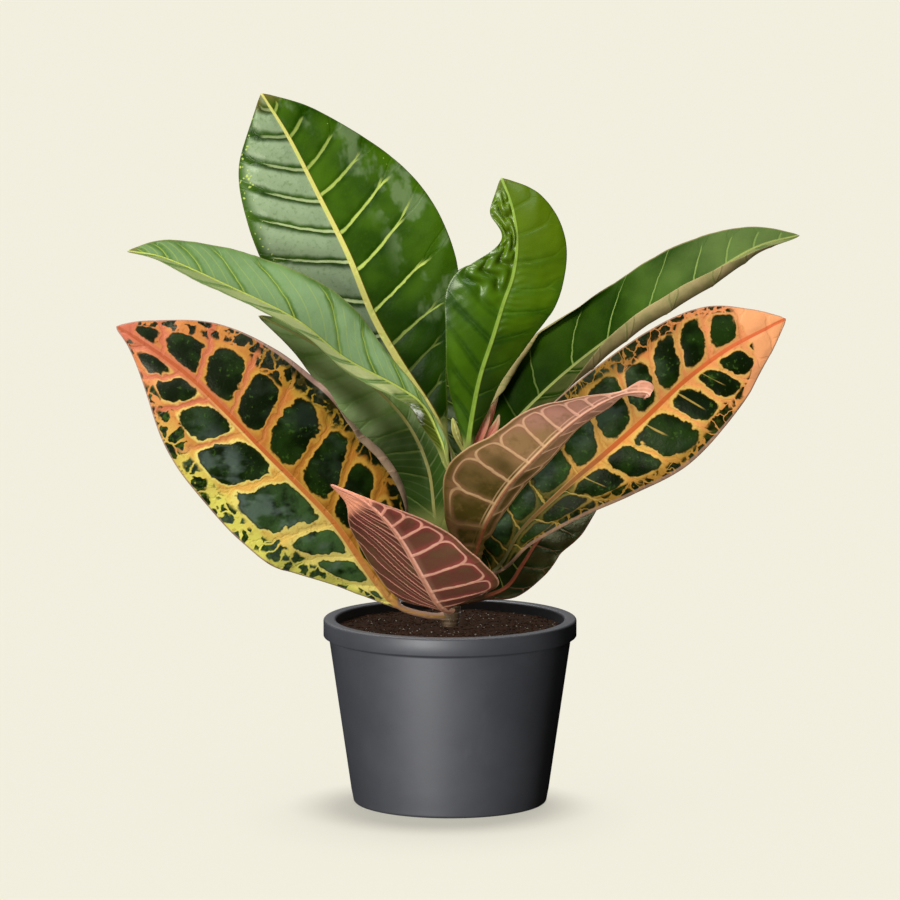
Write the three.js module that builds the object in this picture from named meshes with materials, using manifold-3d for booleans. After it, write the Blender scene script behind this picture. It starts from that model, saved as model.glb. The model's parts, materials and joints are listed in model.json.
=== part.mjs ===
// Potted croton: a young bush with broad, partly variegated leaves in a round plastic pot.
// Millimetres, +Z up, the viewer of the photograph looks along +Y.
// The origin is the centre of the pot's flat underside.
import * as THREE from "three";
import { mergeVertices } from "three/addons/utils/BufferGeometryUtils.js";
import Module from "manifold-3d";

const wasm = await Module();
wasm.setup();

// Pot
const POT_HEIGHT = 110;
const RIM_OUTER_R = 75;
const RIM_INNER_R = 67.6;
const RIM_BAND = 11;
const WALL_OUTER_TOP_R = 71.8;
const BASE_R = 57.5;
const POT_WALL = 4;
const POT_FLOOR = 4;
const EDGE_ROUND = 1.2;
const POT_SIDES = 64;
const DRAIN_COUNT = 6;
const DRAIN_R = 5;
const DRAIN_PITCH_R = 38;

// Soil
const SOIL_TOP = 104;
const SOIL_GAP = 0.3;
const SOIL_LUMP = 0.7;
const SOIL_SIDES = 48;

// Stem, as x, y, z of its middle and its radius, from the foot of its hole to the growing tip
const STEM_GAP = 0.3;
const STEM_SIDES = 14;
const STEM = [
  [0, 0, 60, 5],
  [0, 0, 82, 5],
  [0, 0, 104, 5],
  [1, 0, 118, 4.9],
  [4, -1, 134, 4.6],
  [7, -1, 151, 4.5],
  [10, -2, 169, 4.1],
  [12.5, -3, 188, 3.8],
  [14, -4, 202, 3.2],
  [15, -5, 212, 2.2],
];

// Leaf blade and petiole
const BLADE_THICK = 0.7;
const RIB_HALF = 1.7;
const RIB_HALF_AT_TIP = 0.5;
const LEAST_HALF = 0.7;
const LEAF_GAP = 0.3;
const LEAF_STEPS = 22;
const COLUMNS = [0, 1 / 3, 2 / 3, 1];

// A leaf leaves the stem at the height "from". Its rows are the x, y, z of the midrib and the half
// widths left and right of it, stem end first. "look" is where the upper face looks, at even steps
// from stem to tip. "fold" raises the halves, "cup" raises them further towards the margin (degrees).
// "wave" is the height, the number and the start of the waves along the margin.
const LEAVES = {
  leaf_1: {
    from: 186,
    rows: [
      [-2, 9, 212, 2, 2], [-13, 20, 233, 11, 13], [-30, 33, 258, 30, 34], [-46, 45, 285, 42, 56],
      [-61, 58, 320, 48, 60], [-79, 69, 355, 46, 51], [-97, 78, 389, 33, 27], [-113, 84, 414, 1, 1],
    ],
    look: [[0, -0.9, 0.4], [0, -0.9, 0.35], [0, -0.9, 0.4]],
    fold: [8, 8],
    cup: [-10, -10],
    wave: [2.5, 3, 0.1],
  },
  leaf_2: {
    from: 182,
    rows: [
      [-1, -4, 200, 2, 2], [-6, -2, 216, 6, 6], [-16, 1, 236, 20, 15], [-32, 2, 248, 26, 24],
      [-62, -2, 265, 26, 29], [-92, -4, 289, 32, 30], [-135, -2, 310, 22, 26], [-168, 2, 324, 10, 13],
      [-190, 4, 328, 1, 1],
    ],
    look: [[-0.1, -0.6, 0.5], [0.4, -0.5, 0.77], [0.3, -0.5, 0.8]],
    fold: [25, 25],
    cup: [0, 0],
    wave: [1.5, 3, 0.2],
  },
  leaf_3: {
    from: 111,
    rows: [
      [-14, -8, 113, 2, 2], [-31, -15, 120, 2, 2], [-45, -22, 137, 14, 22], [-67, -34, 171, 41, 50],
      [-88, -42, 195, 47, 52], [-109, -46, 217, 46, 52], [-133, -46, 242, 42, 47],
      [-156, -42, 263, 29, 36], [-181, -36, 280, 9, 15], [-195, -32, 288, 1, 1],
    ],
    look: [[-0.1, -0.9, 0.4], [0, -1, 0.3], [0, -1, 0.3]],
    fold: [6, 6],
    cup: [-8, -8],
    wave: [2, 3, 0],
  },
  leaf_4: {
    from: 196,
    rows: [
      [11, -12, 208, 2, 2], [11, -16, 220, 4, 4], [14, -20, 240, 13, 10], [18, -24, 259, 21, 15],
      [25, -28, 281, 29, 21], [31, -30, 301, 34, 28], [37, -30, 319, 26, 30], [39, -28, 339, 9, 29],
      [36, -24, 358, 13, 20], [30, -20, 374, 1, 1],
    ],
    look: [[0.1, -0.95, 0.2], [0.15, -1, 0.1], [0.1, -0.95, 0.3]],
    fold: [5, 10],
    cup: [-8, -12],
    wave: [1.5, 3, 0],
  },
  leaf_5: {
    from: 180,
    rows: [
      [22, 8, 198, 2, 2], [32, 14, 216, 10, 9], [45, 22, 231, 21, 18], [72, 32, 255, 28, 26],
      [108, 40, 281, 30, 27], [151, 46, 307, 27, 24], [182, 50, 325, 16, 13], [208, 52, 332, 1, 1],
    ],
    look: [[-0.2, -0.5, 0.7], [-0.4, -0.5, 0.77], [-0.3, -0.5, 0.8]],
    fold: [25, 25],
    cup: [0, 0],
    wave: [1.5, 3, 0],
  },
  leaf_6: {
    from: 126,
    rows: [
      [22, -14, 138, 2, 2], [31, -20, 147, 8, 4], [42, -28, 167, 22, 11], [66, -36, 192, 34, 20],
      [89, -42, 213, 39, 29], [113, -46, 235, 40, 37], [136, -46, 257, 36, 36],
      [160, -44, 275, 30, 28], [181, -40, 286, 16, 14], [196, -36, 293, 1, 1],
    ],
    look: [[0.1, -0.9, 0.4], [0, -1, 0.3], [0, -1, 0.3]],
    fold: [6, 6],
    cup: [-8, -8],
    wave: [2, 3, 0],
  },
  leaf_7: {
    from: 137,
    rows: [
      [11, -14, 146, 2, 2], [15, -20, 153, 6, 6], [21, -34, 172, 9, 24], [33, -50, 195, 14, 38],
      [48, -66, 214, 17, 30], [65, -80, 233, 15, 25], [81, -92, 247, 17, 15], [98, -102, 257, 5, 4],
      [108, -105, 260, 7, 6], [116, -107, 256, 1, 1],
    ],
    look: [[-0.2, 0.8, 0.5], [-0.3, 0.75, 0.6], [-0.3, 0.7, 0.6]],
    fold: [18, 18],
    cup: [0, 0],
    wave: [1.5, 2, 0],
  },
  leaf_8: {
    from: 115,
    rows: [
      [-3, -18, 118, 3, 3], [-8, -34, 125, 32, 24], [-16, -50, 142, 36, 32], [-28, -66, 166, 22, 33],
      [-39, -78, 182, 11, 26], [-52, -86, 194, 3, 14], [-69, -90, 203, 1, 1],
    ],
    look: [[0, 0.3, 0.9], [0.2, 0.7, 0.7], [0.3, 0.8, 0.6]],
    fold: [10, 5],
    cup: [5, 5],
    wave: [1.5, 2, 0],
  },
  leaf_9: {
    from: 119,
    rows: [
      [20, 2, 122, 2, 2], [34, 6, 128, 9, 9], [44, 10, 142, 18, 15], [54, 14, 156, 22, 16],
      [71, 18, 168, 20, 14], [92, 22, 181, 1, 1],
    ],
    look: [[0.3, -0.7, 0.6], [0.3, -0.7, 0.6], [0.3, -0.7, 0.6]],
    fold: [10, 10],
    cup: [0, 0],
    wave: [1, 2, 0],
  },
  leaf_10: {
    from: 145,
    rows: [
      [-7, 0, 163, 2, 2], [-12, 5, 196, 12, 8], [-22, 8, 220, 22, 12], [-37, 9, 239, 26, 12],
      [-59, 8, 258, 24, 12], [-85, 8, 275, 14, 10], [-113, 10, 289, 1, 1],
    ],
    look: [[-0.4, -0.6, 0.6], [-0.4, -0.6, 0.7], [-0.3, -0.6, 0.7]],
    fold: [12, 12],
    cup: [0, 0],
    wave: [1, 2, 0],
  },
  leaf_11: {
    from: 172,
    rows: [
      [11, 14, 190, 2, 2], [11, 40, 212, 15, 15], [11, 72, 231, 23, 23], [10, 104, 244, 24, 24],
      [9, 134, 250, 15, 15], [8, 162, 250, 1, 1],
    ],
    look: [[0, -0.5, 0.8], [0, -0.3, 0.95], [0, 0, 1]],
    fold: [14, 14],
    cup: [-6, -6],
    wave: [1.5, 2, 0],
  },
  leaf_12: {
    from: 134,
    rows: [
      [-12, 16, 146, 2, 2], [-36, 40, 162, 15, 15], [-62, 66, 175, 23, 23], [-90, 92, 184, 24, 24],
      [-114, 112, 186, 14, 14], [-136, 130, 184, 1, 1],
    ],
    look: [[0, -0.4, 0.9], [0.1, -0.2, 0.95], [-0.1, 0, 1]],
    fold: [14, 14],
    cup: [-6, -6],
    wave: [1.5, 2, 0.2],
  },
  leaf_13: {
    from: 157,
    rows: [
      [28, 14, 166, 2, 2], [54, 38, 180, 14, 14], [82, 62, 193, 22, 22], [110, 86, 203, 23, 23],
      [134, 104, 207, 14, 14], [156, 120, 206, 1, 1],
    ],
    look: [[0, -0.4, 0.9], [-0.1, -0.2, 0.95], [0.1, 0, 1]],
    fold: [14, 14],
    cup: [-6, -6],
    wave: [1.5, 2, 0.4],
  },
  leaflet: {
    from: 206,
    rows: [[8, -5, 212, 1.2, 1.2], [5, -8, 218, 2, 2], [3, -9.5, 224, 2.2, 2.2], [1.5, -9.5, 231, 0.8, 0.8]],
    look: [[0, -1, 0.2], [0, -1, 0.3], [0, -1, 0.3]],
    fold: [15, 15],
    cup: [0, 0],
    wave: [0, 1, 0],
  },
};

// Bud, a furled young leaf: x, y, z of its middle and its radius
const BUD_SIDES = 10;
const BUD_FLUTE = 0.12;
const BUD_TURN = 1.4;
const BUD = [
  [15.6, -5.2, 213.5, 1],
  [17, -5.8, 217.5, 2.4],
  [19.5, -6.6, 223, 3.2],
  [22, -7.3, 229, 3.1],
  [24.5, -7.9, 235, 2.2],
  [26.5, -8.3, 240, 1.2],
  [28, -8.5, 244, 0.5],
];

const COLOURS = {
  pot: 0x46474b,
  soil: 0x41301f,
  stem: 0x6a6440,
  leaf_1: 0x5d7f36,
  leaf_2: 0x6f9550,
  leaf_3: 0x7d7238,
  leaf_4: 0x4c6f16,
  leaf_5: 0x4d6a2e,
  leaf_6: 0x8a7140,
  leaf_7: 0x846242,
  leaf_8: 0x6d452c,
  leaf_9: 0x3f3318,
  leaf_10: 0x3a5126,
  leaf_11: 0x4f7226,
  leaf_12: 0x6c6d31,
  leaf_13: 0x6f6a30,
  leaflet: 0x9da649,
  bud: 0xb04a3c,
};

const radians = (degrees) => (degrees * Math.PI) / 180;
const clamp = (value, low, high) => Math.min(Math.max(value, low), high);

// Value of a smooth curve through the rows at the share t of its length, column by column
function through(rows, t) {
  const last = rows.length - 1;
  const place = clamp(t, 0, 1) * last;
  const i = Math.min(Math.floor(place), last - 1);
  const s = place - i;
  const b = rows[i];
  const c = rows[i + 1];
  const a = i > 0 ? rows[i - 1] : b.map((value, k) => 2 * value - c[k]);
  const d = i < last - 1 ? rows[i + 2] : c.map((value, k) => 2 * value - b[k]);
  return b.map((value, k) => {
    const slope = c[k] - a[k];
    const bend = 2 * a[k] - 5 * value + 4 * c[k] - d[k];
    const turn = 3 * value - a[k] - 3 * c[k] + d[k];
    return 0.5 * (2 * value + slope * s + bend * s * s + turn * s * s * s);
  });
}

// Closed geometry from welded points and triangles
function solid(points, triangles) {
  const geometry = new THREE.BufferGeometry();
  const flat = points.flatMap((p) => [p.x, p.y, p.z]);
  geometry.setAttribute("position", new THREE.Float32BufferAttribute(flat, 3));
  geometry.setIndex(triangles.flat());
  geometry.computeVertexNormals();
  return geometry;
}

// Closed skin over a pile of rings of the same size, with one point at each end.
// Each ring runs anticlockwise as seen from the last end.
function skin(start, rings, end) {
  const size = rings[0].length;
  const points = [start, ...rings.flat(), end];
  const triangles = [];
  const at = (ring, k) => 1 + ring * size + (k % size);
  const endPoint = points.length - 1;
  for (let k = 0; k < size; k += 1) {
    triangles.push([0, at(0, k + 1), at(0, k)]);
    triangles.push([endPoint, at(rings.length - 1, k), at(rings.length - 1, k + 1)]);
  }
  for (let ring = 0; ring < rings.length - 1; ring += 1) {
    for (let k = 0; k < size; k += 1) {
      triangles.push([at(ring, k), at(ring, k + 1), at(ring + 1, k + 1)]);
      triangles.push([at(ring, k), at(ring + 1, k + 1), at(ring + 1, k)]);
    }
  }
  return solid(points, triangles);
}

// Body of revolution about Z: profile points are [radius, height], both ends on the axis.
// "lift" may raise a point by its x and y.
function revolve(profile, sides, lift = () => 0) {
  const ends = [profile[0], profile[profile.length - 1]];
  const rings = profile.slice(1, -1).map(([radius, height]) => {
    const ring = [];
    for (let k = 0; k < sides; k += 1) {
      const angle = (2 * Math.PI * k) / sides;
      const x = radius * Math.cos(angle);
      const y = radius * Math.sin(angle);
      ring.push(new THREE.Vector3(x, y, height + lift(x, y, height)));
    }
    return ring;
  });
  const [start, end] = ends.map(([, height]) => new THREE.Vector3(0, 0, height));
  return skin(start, rings, end);
}

function toManifold(geometry) {
  const bare = geometry.clone();
  bare.deleteAttribute("normal");
  bare.deleteAttribute("uv");
  const welded = mergeVertices(bare, 1e-5);
  const mesh = new wasm.Mesh({
    numProp: 3,
    vertProperties: new Float32Array(welded.attributes.position.array),
    triVerts: new Uint32Array(welded.index.array),
  });
  return new wasm.Manifold(mesh);
}

function fromManifold(manifold) {
  const mesh = manifold.getMesh();
  const geometry = new THREE.BufferGeometry();
  geometry.setAttribute("position", new THREE.BufferAttribute(new Float32Array(mesh.vertProperties), 3));
  geometry.setIndex(new THREE.BufferAttribute(new Uint32Array(mesh.triVerts), 1));
  geometry.computeVertexNormals();
  return geometry;
}

// Outer radius of the pot's tapered wall at a height
function wallOuter(height) {
  const share = height / (POT_HEIGHT - RIM_BAND);
  return BASE_R + (WALL_OUTER_TOP_R - BASE_R) * share;
}

// Inner radius of the pot at a height. The wall keeps its thickness up to the rim.
function wallInner(height) {
  return Math.min(wallOuter(height) - POT_WALL, RIM_INNER_R);
}

// The tub, its solid rim band and the drain holes in its floor
function potGeometry() {
  const bandFoot = POT_HEIGHT - RIM_BAND;
  const profile = [
    [0, 0],
    [BASE_R - EDGE_ROUND, 0],
    [BASE_R - EDGE_ROUND * 0.3, EDGE_ROUND * 0.3],
    [wallOuter(EDGE_ROUND), EDGE_ROUND],
    [WALL_OUTER_TOP_R, bandFoot],
    [RIM_OUTER_R - EDGE_ROUND * 0.4, bandFoot],
    [RIM_OUTER_R, bandFoot + EDGE_ROUND * 0.4],
    [RIM_OUTER_R, POT_HEIGHT - EDGE_ROUND],
    [RIM_OUTER_R - EDGE_ROUND * 0.3, POT_HEIGHT - EDGE_ROUND * 0.3],
    [RIM_OUTER_R - EDGE_ROUND, POT_HEIGHT],
    [RIM_INNER_R + EDGE_ROUND, POT_HEIGHT],
    [RIM_INNER_R + EDGE_ROUND * 0.3, POT_HEIGHT - EDGE_ROUND * 0.3],
    [RIM_INNER_R, POT_HEIGHT - EDGE_ROUND],
    [wallInner(bandFoot), bandFoot],
    [wallInner(POT_FLOOR), POT_FLOOR],
    [0, POT_FLOOR],
  ];
  let tub = toManifold(revolve(profile, POT_SIDES));
  for (let k = 0; k < DRAIN_COUNT; k += 1) {
    const angle = (2 * Math.PI * k) / DRAIN_COUNT;
    const drill = new THREE.CylinderGeometry(DRAIN_R, DRAIN_R, POT_FLOOR * 3, 24);
    drill.rotateX(Math.PI / 2);
    drill.translate(DRAIN_PITCH_R * Math.cos(angle), DRAIN_PITCH_R * Math.sin(angle), POT_FLOOR / 2);
    tub = tub.subtract(toManifold(drill));
  }
  return fromManifold(tub);
}

// The root ball: it fills the pot, with a plain hole for the stem and a gently uneven top
function soilGeometry() {
  const holeR = STEM[0][3] + STEM_GAP;
  const holeFoot = STEM[0][2] - STEM_GAP;
  const foot = POT_FLOOR + SOIL_GAP;
  const topR = wallInner(SOIL_TOP + SOIL_LUMP) - SOIL_GAP;
  const bandFoot = POT_HEIGHT - RIM_BAND;
  const profile = [
    [0, foot],
    [wallInner(foot) - SOIL_GAP, foot],
    [wallInner(bandFoot) - SOIL_GAP, bandFoot],
    [topR, SOIL_TOP],
    [topR * 0.9, SOIL_TOP],
    [topR * 0.75, SOIL_TOP],
    [topR * 0.58, SOIL_TOP],
    [topR * 0.4, SOIL_TOP],
    [topR * 0.22, SOIL_TOP],
    [holeR, SOIL_TOP],
    [holeR, holeFoot],
    [0, holeFoot],
  ];
  const lift = (x, y, height) => {
    if (height !== SOIL_TOP) return 0;
    return SOIL_LUMP * (Math.sin(x / 9 + 1) * Math.cos(y / 11) * 0.6 + Math.sin(x / 17 - y / 13) * 0.4);
  };
  return revolve(profile, SOIL_SIDES, lift);
}

// Middle and radius of the stem at a height
function stemAt(height) {
  const top = STEM.length - 1;
  let i = 0;
  while (i < top - 1 && STEM[i + 1][2] < height) i += 1;
  const share = clamp((height - STEM[i][2]) / (STEM[i + 1][2] - STEM[i][2]), 0, 1);
  const [x, y, , radius] = STEM[i].map((value, k) => value + (STEM[i + 1][k] - value) * share);
  return { x, y, radius };
}

// One level ring about a middle line of x, y, z and radius. "shape" scales the radius by angle.
function levelRing([x, y, z, radius], sides, shape = () => 1) {
  const ring = [];
  for (let k = 0; k < sides; k += 1) {
    const angle = (2 * Math.PI * k) / sides;
    const r = radius * shape(angle);
    ring.push(new THREE.Vector3(x + r * Math.cos(angle), y + r * Math.sin(angle), z));
  }
  return ring;
}

function stemGeometry() {
  const rings = STEM.map((row) => levelRing(row, STEM_SIDES));
  const [footX, footY, footZ] = STEM[0];
  const [topX, topY, topZ] = STEM[STEM.length - 1];
  return skin(new THREE.Vector3(footX, footY, footZ), rings, new THREE.Vector3(topX, topY, topZ + 1));
}

// The bud's rings turn as they rise, so its furled edges wind round it
function budGeometry() {
  const rings = BUD.map((row, i) => {
    const turn = BUD_TURN * (i / BUD.length);
    return levelRing(row, BUD_SIDES, (angle) => 1 + BUD_FLUTE * Math.cos(3 * (angle - turn)));
  });
  const [footX, footY, footZ] = BUD[0];
  const [topX, topY, topZ] = BUD[BUD.length - 1];
  return skin(new THREE.Vector3(footX, footY, footZ), rings, new THREE.Vector3(topX, topY, topZ + 1));
}

// Place of the leaf's middle surface at the share t along it and the share u across it.
// u is -1 at the left margin, 0 on the midrib and 1 at the right margin.
function leafFrame(leaf, t) {
  const step = 1e-3;
  const row = through(leaf.rows, t);
  const ahead = through(leaf.rows, t + step);
  const behind = through(leaf.rows, t - step);
  const along = new THREE.Vector3(ahead[0] - behind[0], ahead[1] - behind[1], ahead[2] - behind[2]);
  along.normalize();
  const face = new THREE.Vector3(...through(leaf.look, t));
  face.addScaledVector(along, -face.dot(along)).normalize();
  const across = new THREE.Vector3().crossVectors(along, face);
  return { middle: new THREE.Vector3(row[0], row[1], row[2]), halves: [row[3], row[4]], face, across };
}

function leafPoint(leaf, frame, t, distance, side) {
  const half = Math.max(frame.halves[side], LEAST_HALF);
  const u = clamp(distance / half, 0, 1);
  const angle = radians(leaf.fold[side] + leaf.cup[side] * u);
  const [height, count, start] = leaf.wave;
  const fade = clamp(half / 20, 0, 1);
  const wave = height * fade * u * u * Math.sin(2 * Math.PI * (count * t + start + 0.25 * side));
  const out = side === 1 ? 1 : -1;
  return frame.middle
    .clone()
    .addScaledVector(frame.across, out * distance * Math.cos(angle))
    .addScaledVector(frame.face, distance * Math.sin(angle) + wave);
}

// One cross-section: distances from the midrib and how far the faces stand off the middle surface
function crossSection(leaf, t) {
  const frame = leafFrame(leaf, t);
  const blade = clamp((Math.max(...frame.halves) - 3) / 12, 0, 1);
  const ribHalf = RIB_HALF + (RIB_HALF_AT_TIP - RIB_HALF) * t;
  const top = [];
  const bottom = [];
  const add = (distance, side, rise, drop) => {
    const point = leafPoint(leaf, frame, t, distance, side);
    top.push(point.clone().addScaledVector(frame.face, BLADE_THICK / 2 + rise));
    bottom.push(point.clone().addScaledVector(frame.face, -BLADE_THICK / 2 - drop));
  };
  for (const side of [0, 1]) {
    const half = Math.max(frame.halves[side], ribHalf + 0.3, LEAST_HALF);
    const inner = Math.min(ribHalf, half * 0.6);
    const columns = COLUMNS.map((share) => inner + (half - inner) * share);
    if (side === 0) {
      columns.reverse();
    } else {
      const rise = 1 + (0.3 - 1) * blade;
      const drop = (1.6 - 0.4 * blade) * (1 - 0.85 * t);
      add(0, side, rise * (1 - 0.7 * t), drop);
    }
    columns.forEach((distance) => add(distance, side, 0, 0));
  }
  return { top, bottom };
}

// Share along the leaf where its cross-section is clear of the stem
function clearOfStem(leaf) {
  let t = 0;
  const clear = ({ top, bottom }) => [...top, ...bottom].every((point) => {
    const stem = stemAt(point.z);
    return Math.hypot(point.x - stem.x, point.y - stem.y) > stem.radius + LEAF_GAP;
  });
  while (!clear(crossSection(leaf, t))) t += 0.002;
  return t;
}

// The leaf as one closed thin body. Both faces are split into triangles alike.
function leafGeometry(shape) {
  const root = stemAt(shape.from);
  const [petiole] = shape.rows;
  const first = [root.x, root.y, shape.from, petiole[3], petiole[4]];
  const leaf = { ...shape, rows: [first, ...shape.rows] };
  const begin = clearOfStem(leaf);
  const sections = [];
  for (let i = 0; i <= LEAF_STEPS; i += 1) {
    sections.push(crossSection(leaf, begin + (1 - begin) * (i / LEAF_STEPS)));
  }
  const columns = sections[0].top.length;
  const points = sections.flatMap(({ top, bottom }) => [...top, ...bottom]);
  const upper = (i, j) => i * 2 * columns + j;
  const lower = (i, j) => upper(i, j) + columns;
  const triangles = [];
  for (let i = 0; i < LEAF_STEPS; i += 1) {
    for (let j = 0; j < columns - 1; j += 1) {
      triangles.push([upper(i, j), upper(i, j + 1), upper(i + 1, j + 1)]);
      triangles.push([upper(i, j), upper(i + 1, j + 1), upper(i + 1, j)]);
      triangles.push([lower(i, j), lower(i + 1, j + 1), lower(i, j + 1)]);
      triangles.push([lower(i, j), lower(i + 1, j), lower(i + 1, j + 1)]);
    }
    const right = columns - 1;
    triangles.push([upper(i, 0), upper(i + 1, 0), lower(i + 1, 0)]);
    triangles.push([upper(i, 0), lower(i + 1, 0), lower(i, 0)]);
    triangles.push([upper(i, right), lower(i + 1, right), upper(i + 1, right)]);
    triangles.push([upper(i, right), lower(i, right), lower(i + 1, right)]);
  }
  for (let j = 0; j < columns - 1; j += 1) {
    triangles.push([upper(0, j), lower(0, j), lower(0, j + 1)]);
    triangles.push([upper(0, j), lower(0, j + 1), upper(0, j + 1)]);
    const end = LEAF_STEPS;
    triangles.push([upper(end, j), lower(end, j + 1), lower(end, j)]);
    triangles.push([upper(end, j), upper(end, j + 1), lower(end, j + 1)]);
  }
  return solid(points, triangles);
}

function named(name, geometry, roughness) {
  const material = new THREE.MeshStandardMaterial({ color: COLOURS[name], roughness, metalness: 0 });
  material.name = name;
  const mesh = new THREE.Mesh(geometry, material);
  mesh.name = name;
  return mesh;
}

const croton = new THREE.Group();
croton.name = "potted_croton";
croton.add(named("pot", potGeometry(), 0.45));
croton.add(named("soil", soilGeometry(), 0.95));
croton.add(named("stem", stemGeometry(), 0.8));
for (const [name, shape] of Object.entries(LEAVES)) {
  croton.add(named(name, leafGeometry(shape), 0.4));
}
croton.add(named("bud", budGeometry(), 0.45));

export default croton;
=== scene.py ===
"""Looks of the potted croton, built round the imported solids. Lengths in the tables are millimetres."""

import json
import math
from types import SimpleNamespace

import bpy
import numpy as np
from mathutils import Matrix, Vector

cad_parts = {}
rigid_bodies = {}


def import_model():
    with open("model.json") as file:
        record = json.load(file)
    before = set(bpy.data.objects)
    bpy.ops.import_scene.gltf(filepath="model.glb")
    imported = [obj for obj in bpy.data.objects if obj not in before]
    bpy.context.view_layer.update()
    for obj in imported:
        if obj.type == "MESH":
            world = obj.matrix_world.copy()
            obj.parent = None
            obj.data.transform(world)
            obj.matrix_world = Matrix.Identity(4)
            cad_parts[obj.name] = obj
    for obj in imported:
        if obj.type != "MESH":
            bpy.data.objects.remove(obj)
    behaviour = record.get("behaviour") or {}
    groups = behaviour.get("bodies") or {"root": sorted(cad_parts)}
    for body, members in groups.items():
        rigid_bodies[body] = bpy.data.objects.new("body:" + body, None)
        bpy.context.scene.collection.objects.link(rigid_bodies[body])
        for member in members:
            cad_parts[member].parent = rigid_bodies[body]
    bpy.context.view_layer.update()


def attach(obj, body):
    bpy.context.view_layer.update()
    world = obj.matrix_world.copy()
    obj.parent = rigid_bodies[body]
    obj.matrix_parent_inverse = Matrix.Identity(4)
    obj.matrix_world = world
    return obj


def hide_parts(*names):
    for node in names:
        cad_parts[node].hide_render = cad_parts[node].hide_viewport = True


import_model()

MM = 0.001

# Pot
POT_HEIGHT = 110
RIM_OUTER_R = 75
RIM_INNER_R = 67.6
RIM_BAND = 11
RIM_ROUND = 1.4
BAND_FOOT = POT_HEIGHT - RIM_BAND
WALL_OUTER_TOP_R = 71.8
BASE_R = 57.5
BASE_ROUND = 2
FOOT_HOLLOW = 2.0
POT_WALL = 4
POT_FLOOR = 4
DRAIN_COUNT = 6
DRAIN_R = 5
DRAIN_PITCH_R = 38
POT_SIDES = 160

# Soil
SOIL_TOP = 104
SOIL_GAP = 0.3
SOIL_CRUMBS = 2200
SOIL_PALE_GRAINS = 210
GRAIN_FLATNESS = 0.7

# Stem, as x, y, z of its middle and its radius
STEM = [
    (0, 0, 60, 5),
    (0, 0, 82, 5),
    (0, 0, 104, 5),
    (1, 0, 118, 4.9),
    (4, -1, 134, 4.6),
    (7, -1, 151, 4.5),
    (10, -2, 169, 4.1),
    (12.5, -3, 188, 3.8),
    (14, -4, 202, 3.2),
    (15, -5, 212, 2.2),
]
STEM_SKIN_DEPTH = 4
LEAF_SCARS = (107, 109.5, 113, 117, 122.5, 130, 141, 149, 153, 162)
# Height and spread of the rings round the stem: its swelling at a leaf, a scar's ridge and its groove
LEAF_SWELLING = (0.5, 2.2)
SCAR_RIDGE = (0.28, 0.55)
SCAR_GROOVE = (0.16, 0.5)

# Bud, as x, y, z of its middle and its radius
BUD = [
    (15.6, -5.2, 213.5, 1),
    (17, -5.8, 217.5, 2.4),
    (19.5, -6.6, 223, 3.2),
    (22, -7.3, 229, 3.1),
    (24.5, -7.9, 235, 2.2),
    (26.5, -8.3, 240, 1.2),
    (28, -8.5, 244, 0.5),
]
BUD_WINDINGS = 1.7
BUD_TWIST = 1.8
BUD_SHEET = 0.35

# Leaf blade and petiole
RIB_HALF = 1.7
RIB_HALF_AT_TIP = 0.5
LEAST_HALF = 0.5
SHEET_HALF = 0.24
MARGIN_ROUND = 0.6
PETIOLE_SINK = 1.4
ROOT_SWELLING = 0.45
ROOT_SWELLING_LENGTH = 3.5
# Least blade beside the midrib, and the most of the half width that the midrib takes
RIB_SPARE = 0.3
RIB_MOST_SHARE = 0.6
# Half width up to which a leaf is all petiole, and how much wider it is once it is all blade
PETIOLE_HALF = 3
PETIOLE_TO_BLADE = 12
# Shares of the length: where the rounded tip begins and how long it is
TIP_FROM = 0.985
TIP_LENGTH = 0.0152
# Half width from which waves have their full height
FULL_WAVE_HALF = 20
UNEVEN_HEIGHT = 0.9
UNEVEN_LENGTH = 45

# Grid of a leaf: rows along it, and columns over the midrib and over the blade beside it
ROW_STEP = 1.0
FEWEST_ROWS = 24
MOST_ROWS = 210
RIB_COLUMNS = np.linspace(0, 1, 5)
BLADE_COLUMNS = np.concatenate([np.linspace(0, 0.94, 25)[1:], [0.965, 0.985, 1]])

# Height of a leaf's skins over its middle sheet at the petiole, the midrib and the side veins, and the
# share of the first two that is lost towards the tip
UPPER_SKIN = SimpleNamespace(petiole=1.35, rib=0.35, vein=-0.12, thinning=0.7)
LOWER_SKIN = SimpleNamespace(petiole=1.95, rib=1.3, vein=0.3, thinning=0.85)

# Floor, and the share of its brightness that is its own
FLOOR_REACH = 14000
FLOOR_SIDES = 96
FLOOR_GLOW = 0.5

# Camera, in metres
CAMERA_PLACE = (0, -4.136, 0.802)
CAMERA_TARGET = (0, 0, 0.2105)
CAMERA_LENS = 283
CAMERA_SENSOR = 36


def even_veins(count, first, last, slant):
    """Side veins at even steps, as pairs of shares: where one leaves the midrib and where it ends."""
    bases = np.linspace(first, last, count)
    return [(base, base + slant) for base in bases]


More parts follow.
